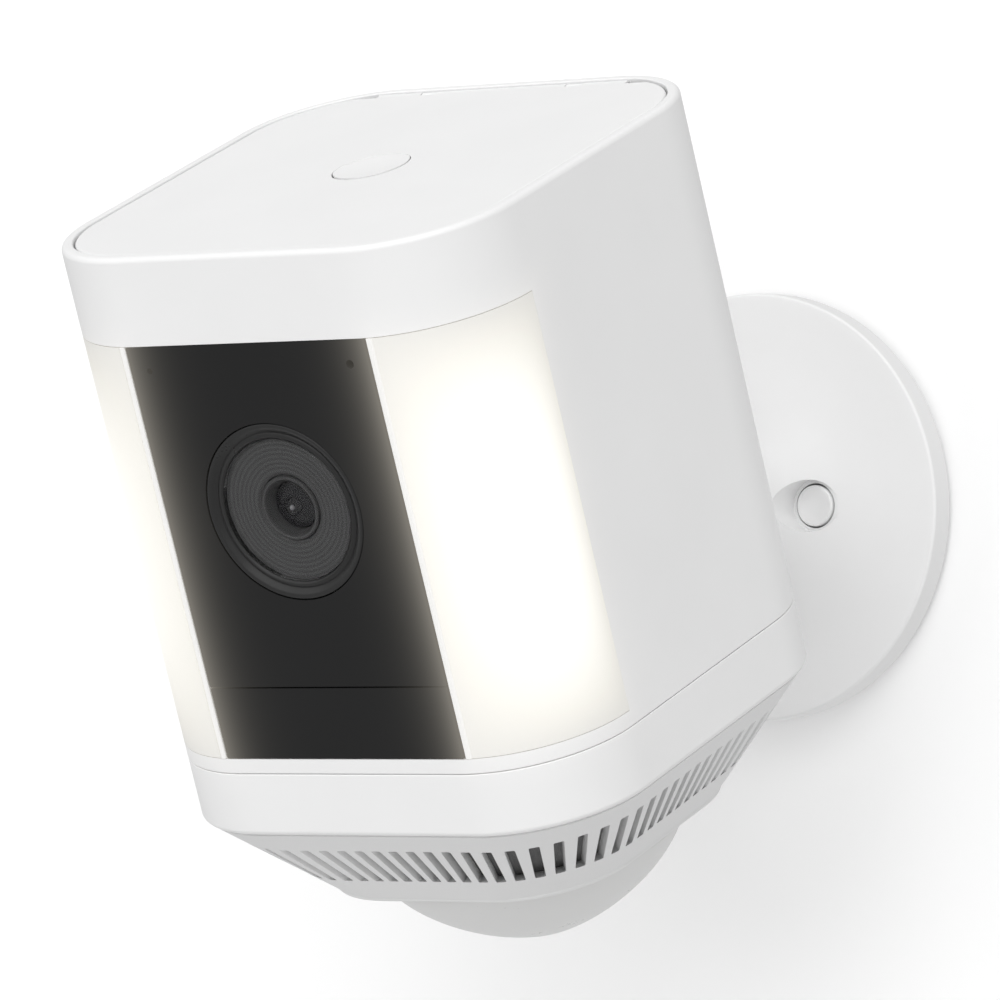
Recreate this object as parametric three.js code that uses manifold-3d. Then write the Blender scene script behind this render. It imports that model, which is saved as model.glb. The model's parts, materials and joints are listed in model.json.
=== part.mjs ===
// Floodlight security camera on a ball-jointed wall mount, in millimetres, +Z up.
// The origin is the centre of the wall face, the wall lies at +Y and the camera looks towards -Y.
// The head is drawn upright in its own frame (x across, y from the front face back, z down from the
// top) and is then tilted nose-down on its ball.
import * as THREE from 'three';
import { mergeVertices } from 'three/addons/utils/BufferGeometryUtils.js';
import Module from 'manifold-3d';

const wasm = await Module();
wasm.setup();

// ---- Driving dimensions ----------------------------------------------------------------------
const GAP = 0.3; // clearance between neighbouring pieces
const HEAD_WIDTH = 81;
const HEAD_DEPTH = 82.3;
const HEAD_CORNER = 19.6; // corner radius of the head's outline
const WALL = 1.9; // casing wall
const HEAD_TILT = 20.89; // nose-down tilt at rest, degrees
const HEAD_ORIGIN_Y = -149.4; // the head's top front edge in the wall frame
const HEAD_ORIGIN_Z = 38.3;

const WINDOW_TOP = -14.2; // front opening for the black panel and the light windows
const WINDOW_BOTTOM = -82.1;
const SEAM_Z = -84.7; // seam between the casing and the bottom cap
const CAP_BOTTOM = -95.1;
const PANEL_HALF = 22.45;
const PANEL_SEAM_Z = -70.2;
const STRIP_HALF = 23.85; // outer face of the white strips beside the panel
const LENS_X = 0;
const LENS_Z = -41.5;
const MID_Y = HEAD_DEPTH / 2;

const RIM_HALF_X = 26.8; // lower rim of the speaker grille
const RIM_HALF_Y = 27.6;
const RIM_CORNER = 16;
const RIM_Z = -112;
const GRILLE_TOP = -95.4;
const SLOT_COUNT = 72;
const DOME_RADIUS = 24.8;

const BALL_Y = -44.89; // ball centre on the arm's axis, in the wall frame
const BALL_RADIUS = 11;
const SEAT_OUTER = 12.9;
const CUP_INNER = 13.2;
const CUP_OUTER = 15.5;
const NECK_RADIUS = 5;

const PLATE_RADIUS = 35.4;
const PLATE_RIM = 5;
const SCREW_X = 14.7; // wall screws left and right of the centre

const WHITE = 0xeeeeec;
const SOFT_WHITE = 0xe2e2e0;
const BLACK = 0x141415;
const DARK = 0x2a2b2d;
const GLOW = 0xfff6e0;
const GLASS = 0x2b3238;
const BOARD_GREEN = 0x1f5a3a;
const STEEL = 0xb9bcc0;
const RUBBER = 0x3a3a3c;
const BATTERY = 0x35373b;
const ORANGE = 0xe8792b;

// ---- Solids ----------------------------------------------------------------------------------
function tidy(geometry) {
  // Merges shared vertices, drops collapsed triangles and turns the faces outwards.
  const raw = geometry.clone();
  raw.deleteAttribute('normal');
  raw.deleteAttribute('uv');
  const merged = mergeVertices(raw, 1e-4);
  const position = merged.getAttribute('position');
  const index = merged.getIndex().array;
  const kept = [];
  let volume = 0;
  const a = new THREE.Vector3();
  const b = new THREE.Vector3();
  const c = new THREE.Vector3();
  for (let i = 0; i < index.length; i += 3) {
    const [p, q, r] = [index[i], index[i + 1], index[i + 2]];
    if (p === q || q === r || p === r) continue;
    kept.push(p, q, r);
    a.fromBufferAttribute(position, p);
    b.fromBufferAttribute(position, q);
    c.fromBufferAttribute(position, r);
    volume += a.dot(b.cross(c));
  }
  if (volume < 0) kept.reverse();
  merged.setIndex(kept);
  return merged;
}

function toSolid(geometry) {
  const clean = tidy(geometry);
  return new wasm.Manifold(new wasm.Mesh({
    numProp: 3,
    vertProperties: new Float32Array(clean.getAttribute('position').array),
    triVerts: new Uint32Array(clean.getIndex().array),
  }));
}

function toGeometry(solid) {
  const mesh = solid.getMesh();
  const geometry = new THREE.BufferGeometry();
  geometry.setAttribute('position', new THREE.BufferAttribute(mesh.vertProperties, 3));
  geometry.setIndex(new THREE.BufferAttribute(mesh.triVerts, 1));
  return geometry;
}

function cut(base, ...tools) {
  return toGeometry(tools.reduce((solid, tool) => solid.subtract(toSolid(tool)), toSolid(base)));
}

function join(base, ...others) {
  return toGeometry(others.reduce((solid, other) => solid.add(toSolid(other)), toSolid(base)));
}

function common(base, other) {
  return toGeometry(toSolid(base).intersect(toSolid(other)));
}

function box(x0, x1, y0, y1, z0, z1) {
  const geometry = new THREE.BoxGeometry(x1 - x0, y1 - y0, z1 - z0);
  return geometry.translate((x0 + x1) / 2, (y0 + y1) / 2, (z0 + z1) / 2);
}

function cylinderX(radius, x0, x1, y, z, segments = 20) {
  const geometry = new THREE.CylinderGeometry(radius, radius, x1 - x0, segments);
  return geometry.rotateZ(Math.PI / 2).translate((x0 + x1) / 2, y, z);
}

function cylinderY(radius, y0, y1, x, z, segments = 24) {
  const geometry = new THREE.CylinderGeometry(radius, radius, y1 - y0, segments);
  return geometry.translate(x, (y0 + y1) / 2, z);
}

function cylinderZ(radius, z0, z1, x, y, segments = 24) {
  const geometry = new THREE.CylinderGeometry(radius, radius, z1 - z0, segments);
  return geometry.rotateX(Math.PI / 2).translate(x, y, (z0 + z1) / 2);
}

function latheY(profile, x = 0, z = 0, segments = 32) {
  // A body of revolution about an axis along y: the profile lists [radius, y].
  const points = profile.map(([radius, y]) => new THREE.Vector2(radius, y));
  return new THREE.LatheGeometry(points, segments).translate(x, 0, z);
}

function latheZ(profile, x = 0, y = 0, segments = 32) {
  // A body of revolution about an axis along z: the profile lists [radius, z].
  const points = profile.map(([radius, z]) => new THREE.Vector2(radius, z));
  return new THREE.LatheGeometry(points, segments).rotateX(Math.PI / 2).translate(x, y, 0);
}

function closed(profile) {
  return [...profile, profile[0]];
}

function roundedRect(x0, x1, y0, y1, radius) {
  const shape = new THREE.Shape();
  shape.moveTo(x0 + radius, y0);
  shape.lineTo(x1 - radius, y0);
  shape.absarc(x1 - radius, y0 + radius, radius, -Math.PI / 2, 0);
  shape.lineTo(x1, y1 - radius);
  shape.absarc(x1 - radius, y1 - radius, radius, 0, Math.PI / 2);
  shape.lineTo(x0 + radius, y1);
  shape.absarc(x0 + radius, y1 - radius, radius, Math.PI / 2, Math.PI);
  shape.lineTo(x0, y0 + radius);
  shape.absarc(x0 + radius, y0 + radius, radius, Math.PI, 1.5 * Math.PI);
  return shape;
}

function prism(shape, z0, z1, curveSegments = 7) {
  const geometry = new THREE.ExtrudeGeometry(shape, { depth: z1 - z0, bevelEnabled: false, curveSegments });
  return geometry.translate(0, 0, z0);
}

function headOutline(inset) {
  // The head's rounded-square outline, moved inwards.
  const half = HEAD_WIDTH / 2 - inset;
  return roundedRect(-half, half, inset, HEAD_DEPTH - inset, HEAD_CORNER - inset);
}

function outlinePoints(halfX, halfY, radius, z) {
  // A rounded rectangle round the head's axis as a list of points with equal counts for lofting.
  const points = [];
  const steps = 7;
  for (let corner = 0; corner < 4; corner += 1) {
    const signX = corner === 0 || corner === 3 ? 1 : -1;
    const signY = corner < 2 ? 1 : -1;
    for (let step = 0; step <= steps; step += 1) {
      const angle = (corner + step / steps) * Math.PI / 2;
      const x = signX * (halfX - radius) + radius * Math.cos(angle);
      const y = MID_Y + signY * (halfY - radius) + radius * Math.sin(angle);
      points.push([x, y, z]);
    }
  }
  return points;
}

function loft(sections) {
  // Skins a stack of outlines with equal point counts and closes it with a fan at each end.
  const count = sections[0].length;
  const vertices = sections.flat();
  const triangles = [];
  for (let level = 0; level + 1 < sections.length; level += 1) {
    for (let i = 0; i < count; i += 1) {
      const next = (i + 1) % count;
      const [a, b] = [level * count + i, level * count + next];
      triangles.push(a, b, b + count, a, b + count, a + count);
    }
  }
  const last = (sections.length - 1) * count;
  for (let i = 1; i + 1 < count; i += 1) {
    triangles.push(0, i + 1, i);
    triangles.push(last, last + i, last + i + 1);
  }
  const geometry = new THREE.BufferGeometry();
  geometry.setAttribute('position', new THREE.Float32BufferAttribute(vertices.flat(), 3));
  geometry.setIndex(triangles);
  return geometry;
}

function part(name, geometry, color, roughness = 0.5, metalness = 0) {
  const material = new THREE.MeshStandardMaterial({ color, roughness, metalness });
  const mesh = new THREE.Mesh(tidy(geometry), material);
  mesh.name = name;
  return mesh;
}

// ---- The ball's centre in the head's frame ----------------------------------------------------
const tilt = THREE.MathUtils.degToRad(HEAD_TILT);
const ballDepth = (BALL_Y - HEAD_ORIGIN_Y) * Math.cos(tilt) - HEAD_ORIGIN_Z * Math.sin(tilt);
const ballHeight = -(BALL_Y - HEAD_ORIGIN_Y) * Math.sin(tilt) - HEAD_ORIGIN_Z * Math.cos(tilt);
const SOCKET_HOLE = CUP_OUTER + GAP;

// ---- Wall mount --------------------------------------------------------------------------------
function wallBase() {
  const baseBack = -2.6;
  const flare = [
    [34.5, 0], [PLATE_RADIUS, 0], [PLATE_RADIUS, 0.6 - PLATE_RIM], [PLATE_RADIUS - 0.6, -PLATE_RIM],
    [30, -5.3], [25, -6.2], [20, -8], [15.4, -10.8], [12, -13.5], [9.5, -17], [7.5, -21], [6.6, -24],
  ];
  const inside = [[3.2, -24], [3.2, -9], [6, -9], [6, baseBack], [34.5, baseBack]];
  const tools = [-SCREW_X, SCREW_X].flatMap((x) => [
    cylinderY(4.3, -30, -8.7, x, 0, 20),
    cylinderY(3.7, -9.5, -3.6, x, 0, 16),
    cylinderY(2.2, -4, 1, x, 0, 12),
  ]);
  return cut(latheY(closed([...flare, ...inside]), 0, 0, 32), ...tools);
}

function backPlate() {
  const plate = latheY([
    [0, -2.3], [34.2, -2.3], [34.2, 0], [32.8, 0], [32.8, -0.8], [30.4, -0.8], [30.4, 0], [0, 0],
  ]);
  const holes = [-SCREW_X, SCREW_X].map((x) => cylinderY(2.2, -3, 1, x, 0, 12));
  return cut(plate, ...holes);
}

function wallScrew(x) {
  const profile = [
    [0, -6.3], [2.4, -6.3], [3.2, -5.4], [3.2, -3.9], [1.8, -3.9], [1.8, 16], [0, 20],
  ];
  const slot = [box(x - 2, x + 2, -7, -5.4, -0.4, 0.4), box(x - 0.4, x + 0.4, -7, -5.4, -2, 2)];
  return cut(latheY(profile, x, 0, 12), ...slot);
}

function screwCap(x) {
  const profile = [[0, -6.8], [2.9, -6.8], [2.9, -7.6], [3.4, -7.8], [3.4, -8.9], [3.1, -9.1], [0, -9.2]];
  return latheY(profile, x, 0, 16);
}

function armBall() {
  const profile = [[0, -33], [2.3, -33], [2.3, -24.3], [6.5, -24.3], [5.8, -27], [5.2, -30]];
  const start = Math.asin(NECK_RADIUS / BALL_RADIUS);
  const steps = 8;
  for (let step = 0; step <= steps; step += 1) {
    const angle = start + (Math.PI - start) * step / steps;
    profile.push([BALL_RADIUS * Math.sin(angle), BALL_Y + BALL_RADIUS * Math.cos(angle)]);
  }
  profile[profile.length - 1][0] = 0;
  return latheY(profile, 0, 0, 24);
}

function armBolt() {
  const profile = [[0, -4.6], [4.6, -4.6], [5.6, -5.6], [5.6, -8.7], [2, -8.7], [2, -32.6], [0, -32.6]];
  const socket = new THREE.CylinderGeometry(2.6, 2.6, 4, 6).translate(0, -5.4, 0);
  return cut(latheY(profile, 0, 0, 16), socket);
}

// ---- Ball socket -------------------------------------------------------------------------------
function ballSeat() {
  // A liner ring with a spherical inside and outside, round the arm's axis.
  const inner = BALL_RADIUS + GAP;
  const arc = (radius, from, to) => {
    const points = [];
    for (let step = 0; step <= 4; step += 1) {
      const angle = THREE.MathUtils.degToRad(from + (to - from) * step / 4);
      points.push([radius * Math.sin(angle), BALL_Y + radius * Math.cos(angle)]);
    }
    return points;
  };
  return latheY(closed([...arc(inner, 64, 135), ...arc(SEAT_OUTER, 135, 64)]), 0, 0, 24);
}

const FLANGE_RADIUS = 24.5;
const FLANGE_SCREW_RADIUS = 21.4;
const flangeScrews = [30, 90, 150].map((degrees) => {
  const angle = THREE.MathUtils.degToRad(degrees);
  return [FLANGE_SCREW_RADIUS * Math.cos(angle), ballHeight + FLANGE_SCREW_RADIUS * Math.sin(angle)];
});

function socketHousing() {
  const rear = HEAD_DEPTH + GAP;
  const outside = [[0, 70], [CUP_OUTER, 70], [CUP_OUTER, rear], [FLANGE_RADIUS, rear]];
  const back = [[FLANGE_RADIUS, rear + 1.6], [CUP_OUTER, rear + 1.6], [CUP_OUTER, 87.2], [0, 87.2]];
  const hollow = new THREE.SphereGeometry(CUP_INNER, 24, 14).translate(0, ballDepth, ballHeight);
  const lowerCut = box(-30, 30, rear - 0.1, rear + 1.7, -110, SEAM_Z + 1);
  const keep = cylinderY(CUP_OUTER, 60, 95, 0, ballHeight, 28);
  const screwHoles = flangeScrews.map(([x, z]) => cylinderY(1.5, 80, 90, x, z, 8));
  const flange = latheY([...outside, ...back], 0, ballHeight, 28);
  return cut(flange, hollow, cut(lowerCut, keep), ...screwHoles);
}

function clampCollar() {
  const ring = latheY(closed([
    [CUP_OUTER + GAP, 84.8], [17.8, 84.8], [18.2, 85.4], [18.2, 88.6],
    [17.6, 89.2], [14.4, 89.2], [14.4, 87.5], [CUP_OUTER + GAP, 87.5],
  ]), 0, ballHeight, 24);
  const grooves = [];
  for (let i = 0; i < 12; i += 1) {
    const angle = i * Math.PI / 6;
    const [x, z] = [18.9 * Math.cos(angle), ballHeight + 18.9 * Math.sin(angle)];
    grooves.push(cylinderY(1.3, 84, 90, x, z, 6));
  }
  return cut(ring, ...grooves);
}

function socketScrew([x, z]) {
  const head = HEAD_DEPTH + GAP + 1.6 + GAP;
  const top = head + 1.4;
  const profile = [[0, 78], [1.2, 78], [1.2, head], [2.2, head], [2.2, top - 0.5], [1.7, top], [0, top]];
  const slot = box(x - 1.3, x + 1.3, head + 0.8, head + 2, z - 0.3, z + 0.3);
  return cut(latheY(profile, x, z, 12), slot);
}

// ---- Head casing -------------------------------------------------------------------------------
const BUTTON_Z = -18;
const PORT_Z = -36;
const LID_AXIS_Y = 79.2;
const LID_AXIS_Z = -0.95;
const KNUCKLE_RADIUS = 0.85;
const KNUCKLE_HALF = 24; // the lid is relieved beyond this at its rear corners, so that it can swing
const PIN_RADIUS = 0.35;
const EAR_X = 14; // hinge ears left and right of the centre
const LATCH_RADIUS = 6.2;
const DECK_TOP = -4.5;

function housingShell() {
  const outer = prism(headOutline(0), SEAM_Z + GAP / 2, 0);
  const inner = prism(headOutline(WALL), -90, 5);
  const windowOpening = box(-60, 60, -5, HEAD_CORNER, WINDOW_BOTTOM, WINDOW_TOP);
  const socketHole = cylinderY(SOCKET_HOLE, 75, 90, 0, ballHeight, 32);
  const buttonHole = cylinderY(4.3, 75, 90, 0, BUTTON_Z, 16);
  const portHole = box(-8.3, 8.3, 75, 90, PORT_Z - 4.8, PORT_Z + 4.8);
  const screwHoles = flangeScrews.map(([x, z]) => cylinderY(1.5, 75, 90, x, z, 8));
  return cut(outer, inner, windowOpening, socketHole, buttonHole, portHole, ...screwHoles);
}

function batteryLid() {
  const plate = cut(
    prism(headOutline(WALL + GAP), -2.4, -0.2),
    box(-60, 60, LID_AXIS_Y, 100, -10, 10),
  );
  const knuckle = common(
    cylinderX(KNUCKLE_RADIUS, -KNUCKLE_HALF, KNUCKLE_HALF, LID_AXIS_Y, LID_AXIS_Z, 14),
    prism(headOutline(WALL + GAP), -6, 2),
  );
  const relief = [[-40, -KNUCKLE_HALF], [KNUCKLE_HALF, 40]].map(([x0, x1]) => (
    box(x0, x1, LID_AXIS_Y - 1.1, 90, -6, 4)
  ));
  const notches = [-EAR_X, EAR_X].map((x) => box(x - 1.8, x + 1.8, LID_AXIS_Y - 1.9, 90, -6, 4));
  const bore = cylinderX(PIN_RADIUS + 0.2, -40, 40, LID_AXIS_Y, LID_AXIS_Z, 8);
  const latchHole = cylinderZ(LATCH_RADIUS + GAP, -6, 4, 0, MID_Y, 24);
  return cut(join(plate, knuckle), ...relief, ...notches, bore, latchHole);
}

function lidButton() {
  // A flat press button with a shallow hollow for the thumb and a flange that keeps it under the lid.
  const flange = LATCH_RADIUS + 1.4;
  const [rim, hollow, shoulder, foot] = [-0.25, -0.45, -2.7, -3.3];
  const profile = [
    [0, hollow], [LATCH_RADIUS - 2.2, hollow + 0.06], [LATCH_RADIUS - 0.8, rim], [LATCH_RADIUS, rim],
    [LATCH_RADIUS, shoulder], [flange, shoulder], [flange, foot], [0, foot],
  ];
  return latheZ(profile, 0, MID_Y, 24);
}

function topDeck() {
  const deck = cut(
    prism(headOutline(WALL + GAP), -6.3, DECK_TOP),
    box(-27.5, 27.5, 23.3, 68.3, -10, 0),
  );
  const ears = [-EAR_X, EAR_X].map((x) => join(
    box(x - 1.5, x + 1.5, LID_AXIS_Y - 0.8, LID_AXIS_Y + 0.8, DECK_TOP - 0.5, LID_AXIS_Z),
    cylinderX(0.8, x - 1.5, x + 1.5, LID_AXIS_Y, LID_AXIS_Z, 12),
  ));
  const bore = cylinderX(PIN_RADIUS + 0.2, -40, 40, LID_AXIS_Y, LID_AXIS_Z, 8);
  return cut(join(deck, ...ears), bore);
}

function lidSeal() {
  const outer = prism(roundedRect(-36.4, 36.4, 4.1, 75.6, 15.5), -4.2, -2.7, 4);
  const inner = prism(roundedRect(-34.8, 34.8, 5.7, 74, 13.9), -6, 0, 4);
  return cut(outer, inner);
}

function frontCarrier() {
  const web = 2.6;
  const back = 4.4;
  const shape = new THREE.Shape();
  shape.moveTo(-STRIP_HALF, 0);
  shape.lineTo(-PANEL_HALF - GAP, 0);
  shape.lineTo(-PANEL_HALF - GAP, web);
  shape.lineTo(PANEL_HALF + GAP, web);
  shape.lineTo(PANEL_HALF + GAP, 0);
  shape.lineTo(STRIP_HALF, 0);
  shape.lineTo(STRIP_HALF, back);
  shape.lineTo(-STRIP_HALF, back);
  const lensHole = cylinderY(11.8, -5, 10, LENS_X, LENS_Z, 24);
  const ringRecess = cylinderY(14.6, -5, 3.4, LENS_X, LENS_Z, 24);
  const micHole = cylinderY(0.8, -5, 10, 18.9, -18.2, 8);
  return cut(prism(shape, WINDOW_BOTTOM + GAP, WINDOW_TOP - GAP), lensHole, ringRecess, micHole);
}

function frontPanel(z0, z1) {
  return box(-PANEL_HALF, PANEL_HALF, 0, 2.3, z0, z1);
}

function frontPanelUpper() {
  const lensHole = cylinderY(14.6, -5, 10, LENS_X, LENS_Z, 32);
  const micHoles = [-18.9, 18.9].map((x) => cylinderY(0.5, -5, 10, x, -18.2, 8));
  return cut(frontPanel(PANEL_SEAM_Z + GAP / 2, WINDOW_TOP - GAP), lensHole, ...micHoles);
}

function lightWindow(side) {
  const block = cut(
    prism(headOutline(0), WINDOW_BOTTOM + GAP, WINDOW_TOP - GAP, 10),
    prism(headOutline(WALL), -120, 20, 10),
  );
  const edges = [side * (STRIP_HALF + GAP), side * 60].sort((a, b) => a - b);
  return common(block, box(edges[0], edges[1], -5, HEAD_CORNER - GAP, -120, 20));
}

function bottomCap() {
  const [halfX, halfY] = [HEAD_WIDTH / 2, HEAD_DEPTH / 2];
  const level = (inset, z) => outlinePoints(halfX - inset, halfY - inset, HEAD_CORNER - inset, z);
  const outer = loft([
    level(1, CAP_BOTTOM), level(0.25, -94.5), level(0, -93.6), level(0, SEAM_Z - GAP / 2),
  ]);
  const inner = loft([level(WALL, -100), level(WALL, -80)]);
  const socketNotch = cylinderY(SOCKET_HOLE, 75, 90, 0, ballHeight, 32);
  return cut(outer, inner, socketNotch);
}

function capSeal() {
  const ring = cut(
    prism(headOutline(WALL + GAP + 0.1), -86.4, -83, 5),
    prism(headOutline(WALL + 1.7), -90, -80, 5),
  );
  return cut(ring, cylinderY(SOCKET_HOLE, 70, 90, 0, ballHeight, 20));
}

// ---- Bottom: speaker grille and motion-sensor dome ----------------------------------------------
function speakerGrille() {
  const [halfX, halfY] = [HEAD_WIDTH / 2, HEAD_DEPTH / 2];
  const outer = loft([
    outlinePoints(RIM_HALF_X - 0.7, RIM_HALF_Y - 0.7, RIM_CORNER - 0.7, RIM_Z),
    outlinePoints(RIM_HALF_X, RIM_HALF_Y, RIM_CORNER, RIM_Z + 0.8),
    outlinePoints(halfX - 1, halfY - 1, HEAD_CORNER - 1, GRILLE_TOP),
  ]);
  const collar = loft([
    outlinePoints(halfX - 4.6, halfY - 4.6, HEAD_CORNER - 4.6, GRILLE_TOP - 1.2),
    outlinePoints(halfX - WALL - GAP, halfY - WALL - GAP, HEAD_CORNER - WALL - GAP, GRILLE_TOP - 0.1),
    outlinePoints(halfX - WALL - GAP, halfY - WALL - GAP, HEAD_CORNER - WALL - GAP, -91.5),
  ]);
  const inner = loft([
    outlinePoints(RIM_HALF_X - 2.2, RIM_HALF_Y - 2.2, RIM_CORNER - 2.2, RIM_Z + 1.6),
    outlinePoints(halfX - 3.6, halfY - 3.6, HEAD_CORNER - 3.6, GRILLE_TOP),
    outlinePoints(halfX - 3.6, halfY - 3.6, HEAD_CORNER - 3.6, -85),
  ]);
  const domeHole = cylinderZ(DOME_RADIUS + GAP, -120, -104, 0, MID_Y, 32);
  return cut(join(outer, collar), inner, domeHole, ...grilleSlots());
}

function grilleSlots() {
  // Slots run down the grille's sloping sides towards the head's axis, at even angles.
  const slotWidth = 1.7;
  const [slotTop, slotBottom] = [-99.1, -106.8];
  const slots = [];
  for (let i = 0; i < SLOT_COUNT; i += 1) {
    const angle = (i + 0.5) * 2 * Math.PI / SLOT_COUNT;
    const slot = box(21, 45, -slotWidth / 2, slotWidth / 2, slotBottom, slotTop);
    slots.push(slot.rotateZ(angle).translate(0, MID_Y, 0));
  }
  return slots;
}

function pirDome() {
  // A milky dome whose flank is nearly a cone and whose tip is round.
  const shoulder = -109.2;
  const height = 19.3;
  const base = 25.9;
  const depthAt = (radius) => shoulder - height * (1 - (radius / base) ** 1.45) ** 0.58;
  const outer = [[DOME_RADIUS, -106]];
  const inner = [[DOME_RADIUS - 1.2, -106]];
  const steps = 6;
  for (let step = 0; step <= steps; step += 1) {
    const share = Math.cos((step / steps) * Math.PI / 2);
    outer.push([step === steps ? 0 : DOME_RADIUS * share, depthAt(DOME_RADIUS * share)]);
    inner.push([step === steps ? 0 : (DOME_RADIUS - 1.2) * share, depthAt(DOME_RADIUS * share) + 1.3]);
  }
  return latheZ([...outer.reverse(), ...inner], 0, MID_Y, 32);
}

// ---- Camera module ------------------------------------------------------------------------------
function lensRing() {
  const profile = [[11.7, 0.6], [12.3, 0], [13.9, 0], [14.3, 0.4], [14.3, 2.9], [11.7, 2.9]];
  return latheY(closed(profile), LENS_X, LENS_Z, 32);
}

function lensBaffle() {
  const profile = [[11.4, 1.6], [11.4, 6], [5.5, 6], [5.5, 2], [8.4, 1.7]];
  return latheY(closed(profile), LENS_X, LENS_Z, 24);
}

function lensBarrel() {
  const profile = [
    [4, 2], [4.6, 1.6], [5.2, 2], [5.2, 6.3], [7.5, 6.3], [7.5, 9], [6.2, 9], [6.2, 15], [4, 15],
  ];
  return latheY(closed(profile), LENS_X, LENS_Z, 20);
}

function lensFrontElement() {
  const profile = [[0, 2.2], [1.3, 2.3], [2.5, 2.6], [3.7, 3.1], [3.7, 6.4], [0, 6.4]];
  return latheY(profile, LENS_X, LENS_Z, 16);
}

function filterHousing() {
  const body = box(LENS_X - 6.5, LENS_X + 12.8, 15.3, 18.5, LENS_Z - 6.5, LENS_Z + 6.5);
  const slot = box(LENS_X - 4, LENS_X + 11.2, 16.3, 17.5, LENS_Z - 4.3, LENS_Z + 4.3);
  const lightHole = cylinderY(3.2, 10, 25, LENS_X, LENS_Z, 20);
  return cut(body, slot, lightHole);
}

function cameraBoard() {
  const imageSensor = box(LENS_X - 4, LENS_X + 4, 18.8, 20.2, LENS_Z - 3.4, LENS_Z + 3.4);
  return join(box(LENS_X - 13, LENS_X + 13, 20.1, 21.3, LENS_Z - 12, LENS_Z + 12), imageSensor);
}

function irBoard() {
  const board = box(-14, 14, 5.6, 6.8, -80, -71.5);
  const emitters = [-8, 0, 8].map((x) => cylinderY(1.9, 4.8, 5.7, x, -75.7, 14));
  return join(board, ...emitters);
}

// ---- Floodlights --------------------------------------------------------------------------------
const LIGHT_CENTRE = [25.85, 14.65]; // middle of the LED board behind each corner window
const LIGHT_MID_Z = (WINDOW_TOP + WINDOW_BOTTOM) / 2;
const LIGHT_HALF = 31;

function toCorner(geometry, side) {
  // Turns a piece drawn facing -y so that it faces the corner window on its side of the head.
  const placed = geometry.rotateZ(side * Math.PI / 4);
  return placed.translate(side * LIGHT_CENTRE[0], LIGHT_CENTRE[1], LIGHT_MID_Z);
}

function ledBoard(side) {
  const leds = [];
  for (let i = 0; i < 6; i += 1) {
    const z = (i - 2.5) * 9.4;
    leds.push(box(-1.9, 1.9, -1, 0.1, z - 1.9, z + 1.9));
  }
  return toCorner(join(box(-8, 8, 0, 1.2, -LIGHT_HALF, LIGHT_HALF), ...leds), side);
}

function reflector(side) {
  const shape = new THREE.Shape();
  shape.moveTo(-7.4, -GAP);
  shape.lineTo(-9.9, -3.7);
  shape.lineTo(-9.2, -4.1);
  shape.lineTo(-7, -1.1);
  shape.lineTo(7, -1.1);
  shape.lineTo(9.2, -4.1);
  shape.lineTo(9.9, -3.7);
  shape.lineTo(7.4, -GAP);
  const trough = prism(shape, -LIGHT_HALF, LIGHT_HALF);
  return toCorner(cut(trough, box(-2.6, 2.6, -5, 1, -28.3, 28.3)), side);
}

// ---- Power and boards ---------------------------------------------------------------------------
const PACK_TOP = -7.2;
const PACK_BOTTOM = -76.4;

function batteryCradle() {
  const outer = prism(roundedRect(-28.2, 28.2, 22.6, 69, 2.5), -78, -6.6, 3);
  const pocket = box(-27, 27, 23.8, 67.8, -76.8, 0);
  return cut(outer, pocket);
}

function batteryPack(side) {
  const [x0, x1] = side > 0 ? [0.6, 25.8] : [-25.8, -0.6];
  const block = prism(roundedRect(x0, x1, 24.2, 67.4, 3.5), PACK_BOTTOM, PACK_TOP, 3);
  const gripRecess = box(side * 13.2 - 8, side * 13.2 + 8, 50, 62, PACK_TOP - 2.5, 0);
  return cut(block, gripRecess);
}

function batteryTab(side) {
  const x = side * 13.2;
  const base = box(x - 5, x + 5, 25.5, 31.5, PACK_TOP + GAP, PACK_TOP + 1.6);
  const ridges = [26.4, 28.2, 30].map((y) => box(x - 5, x + 5, y, y + 0.8, PACK_TOP + 1.5, PACK_TOP + 2.4));
  return join(base, ...ridges);
}

function speakerFrame() {
  return latheZ(closed([
    [14.6, -99.9], [17, -99.9], [17, -98.4], [15.2, -98.4], [10.6, -92.4], [10.6, -91.2], [4, -91.2],
    [4, -92.2], [9.4, -92.2], [14, -98.4],
  ]), 0, MID_Y, 20);
}

function speakerCone() {
  return latheZ([
    [0, -96.6], [4.4, -95.7], [13.2, -99.8], [13.2, -98.9], [3.6, -94.2], [3.6, -92.9], [0, -92.9],
  ], 0, MID_Y, 20);
}

function lowerDeck() {
  const plate = prism(roundedRect(-34, 34, 7.2, 75.1, 14), -98.1, -96.6, 4);
  return cut(plate, cylinderZ(15.7, -110, -90, 0, MID_Y, 20));
}

function chargePort() {
  const block = box(-7, 7, 71, 80.1, PORT_Z - 4, PORT_Z + 4);
  return cut(block, box(-4.6, 4.6, 74, 90, PORT_Z - 1.6, PORT_Z + 1.6));
}

function portFlap() {
  const axisZ = PORT_Z + 3.9;
  const plate = box(-8, 8, 81, 82.2, PORT_Z - 4.5, axisZ);
  const roll = cylinderX(0.6, -8, 8, 81.6, axisZ, 14);
  const fingerLip = box(-3, 3, 81.5, 83, PORT_Z - 4.5, PORT_Z - 3.6);
  return join(plate, roll, fingerLip);
}

// ---- Assembly -----------------------------------------------------------------------------------
const camera = new THREE.Group();

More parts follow.
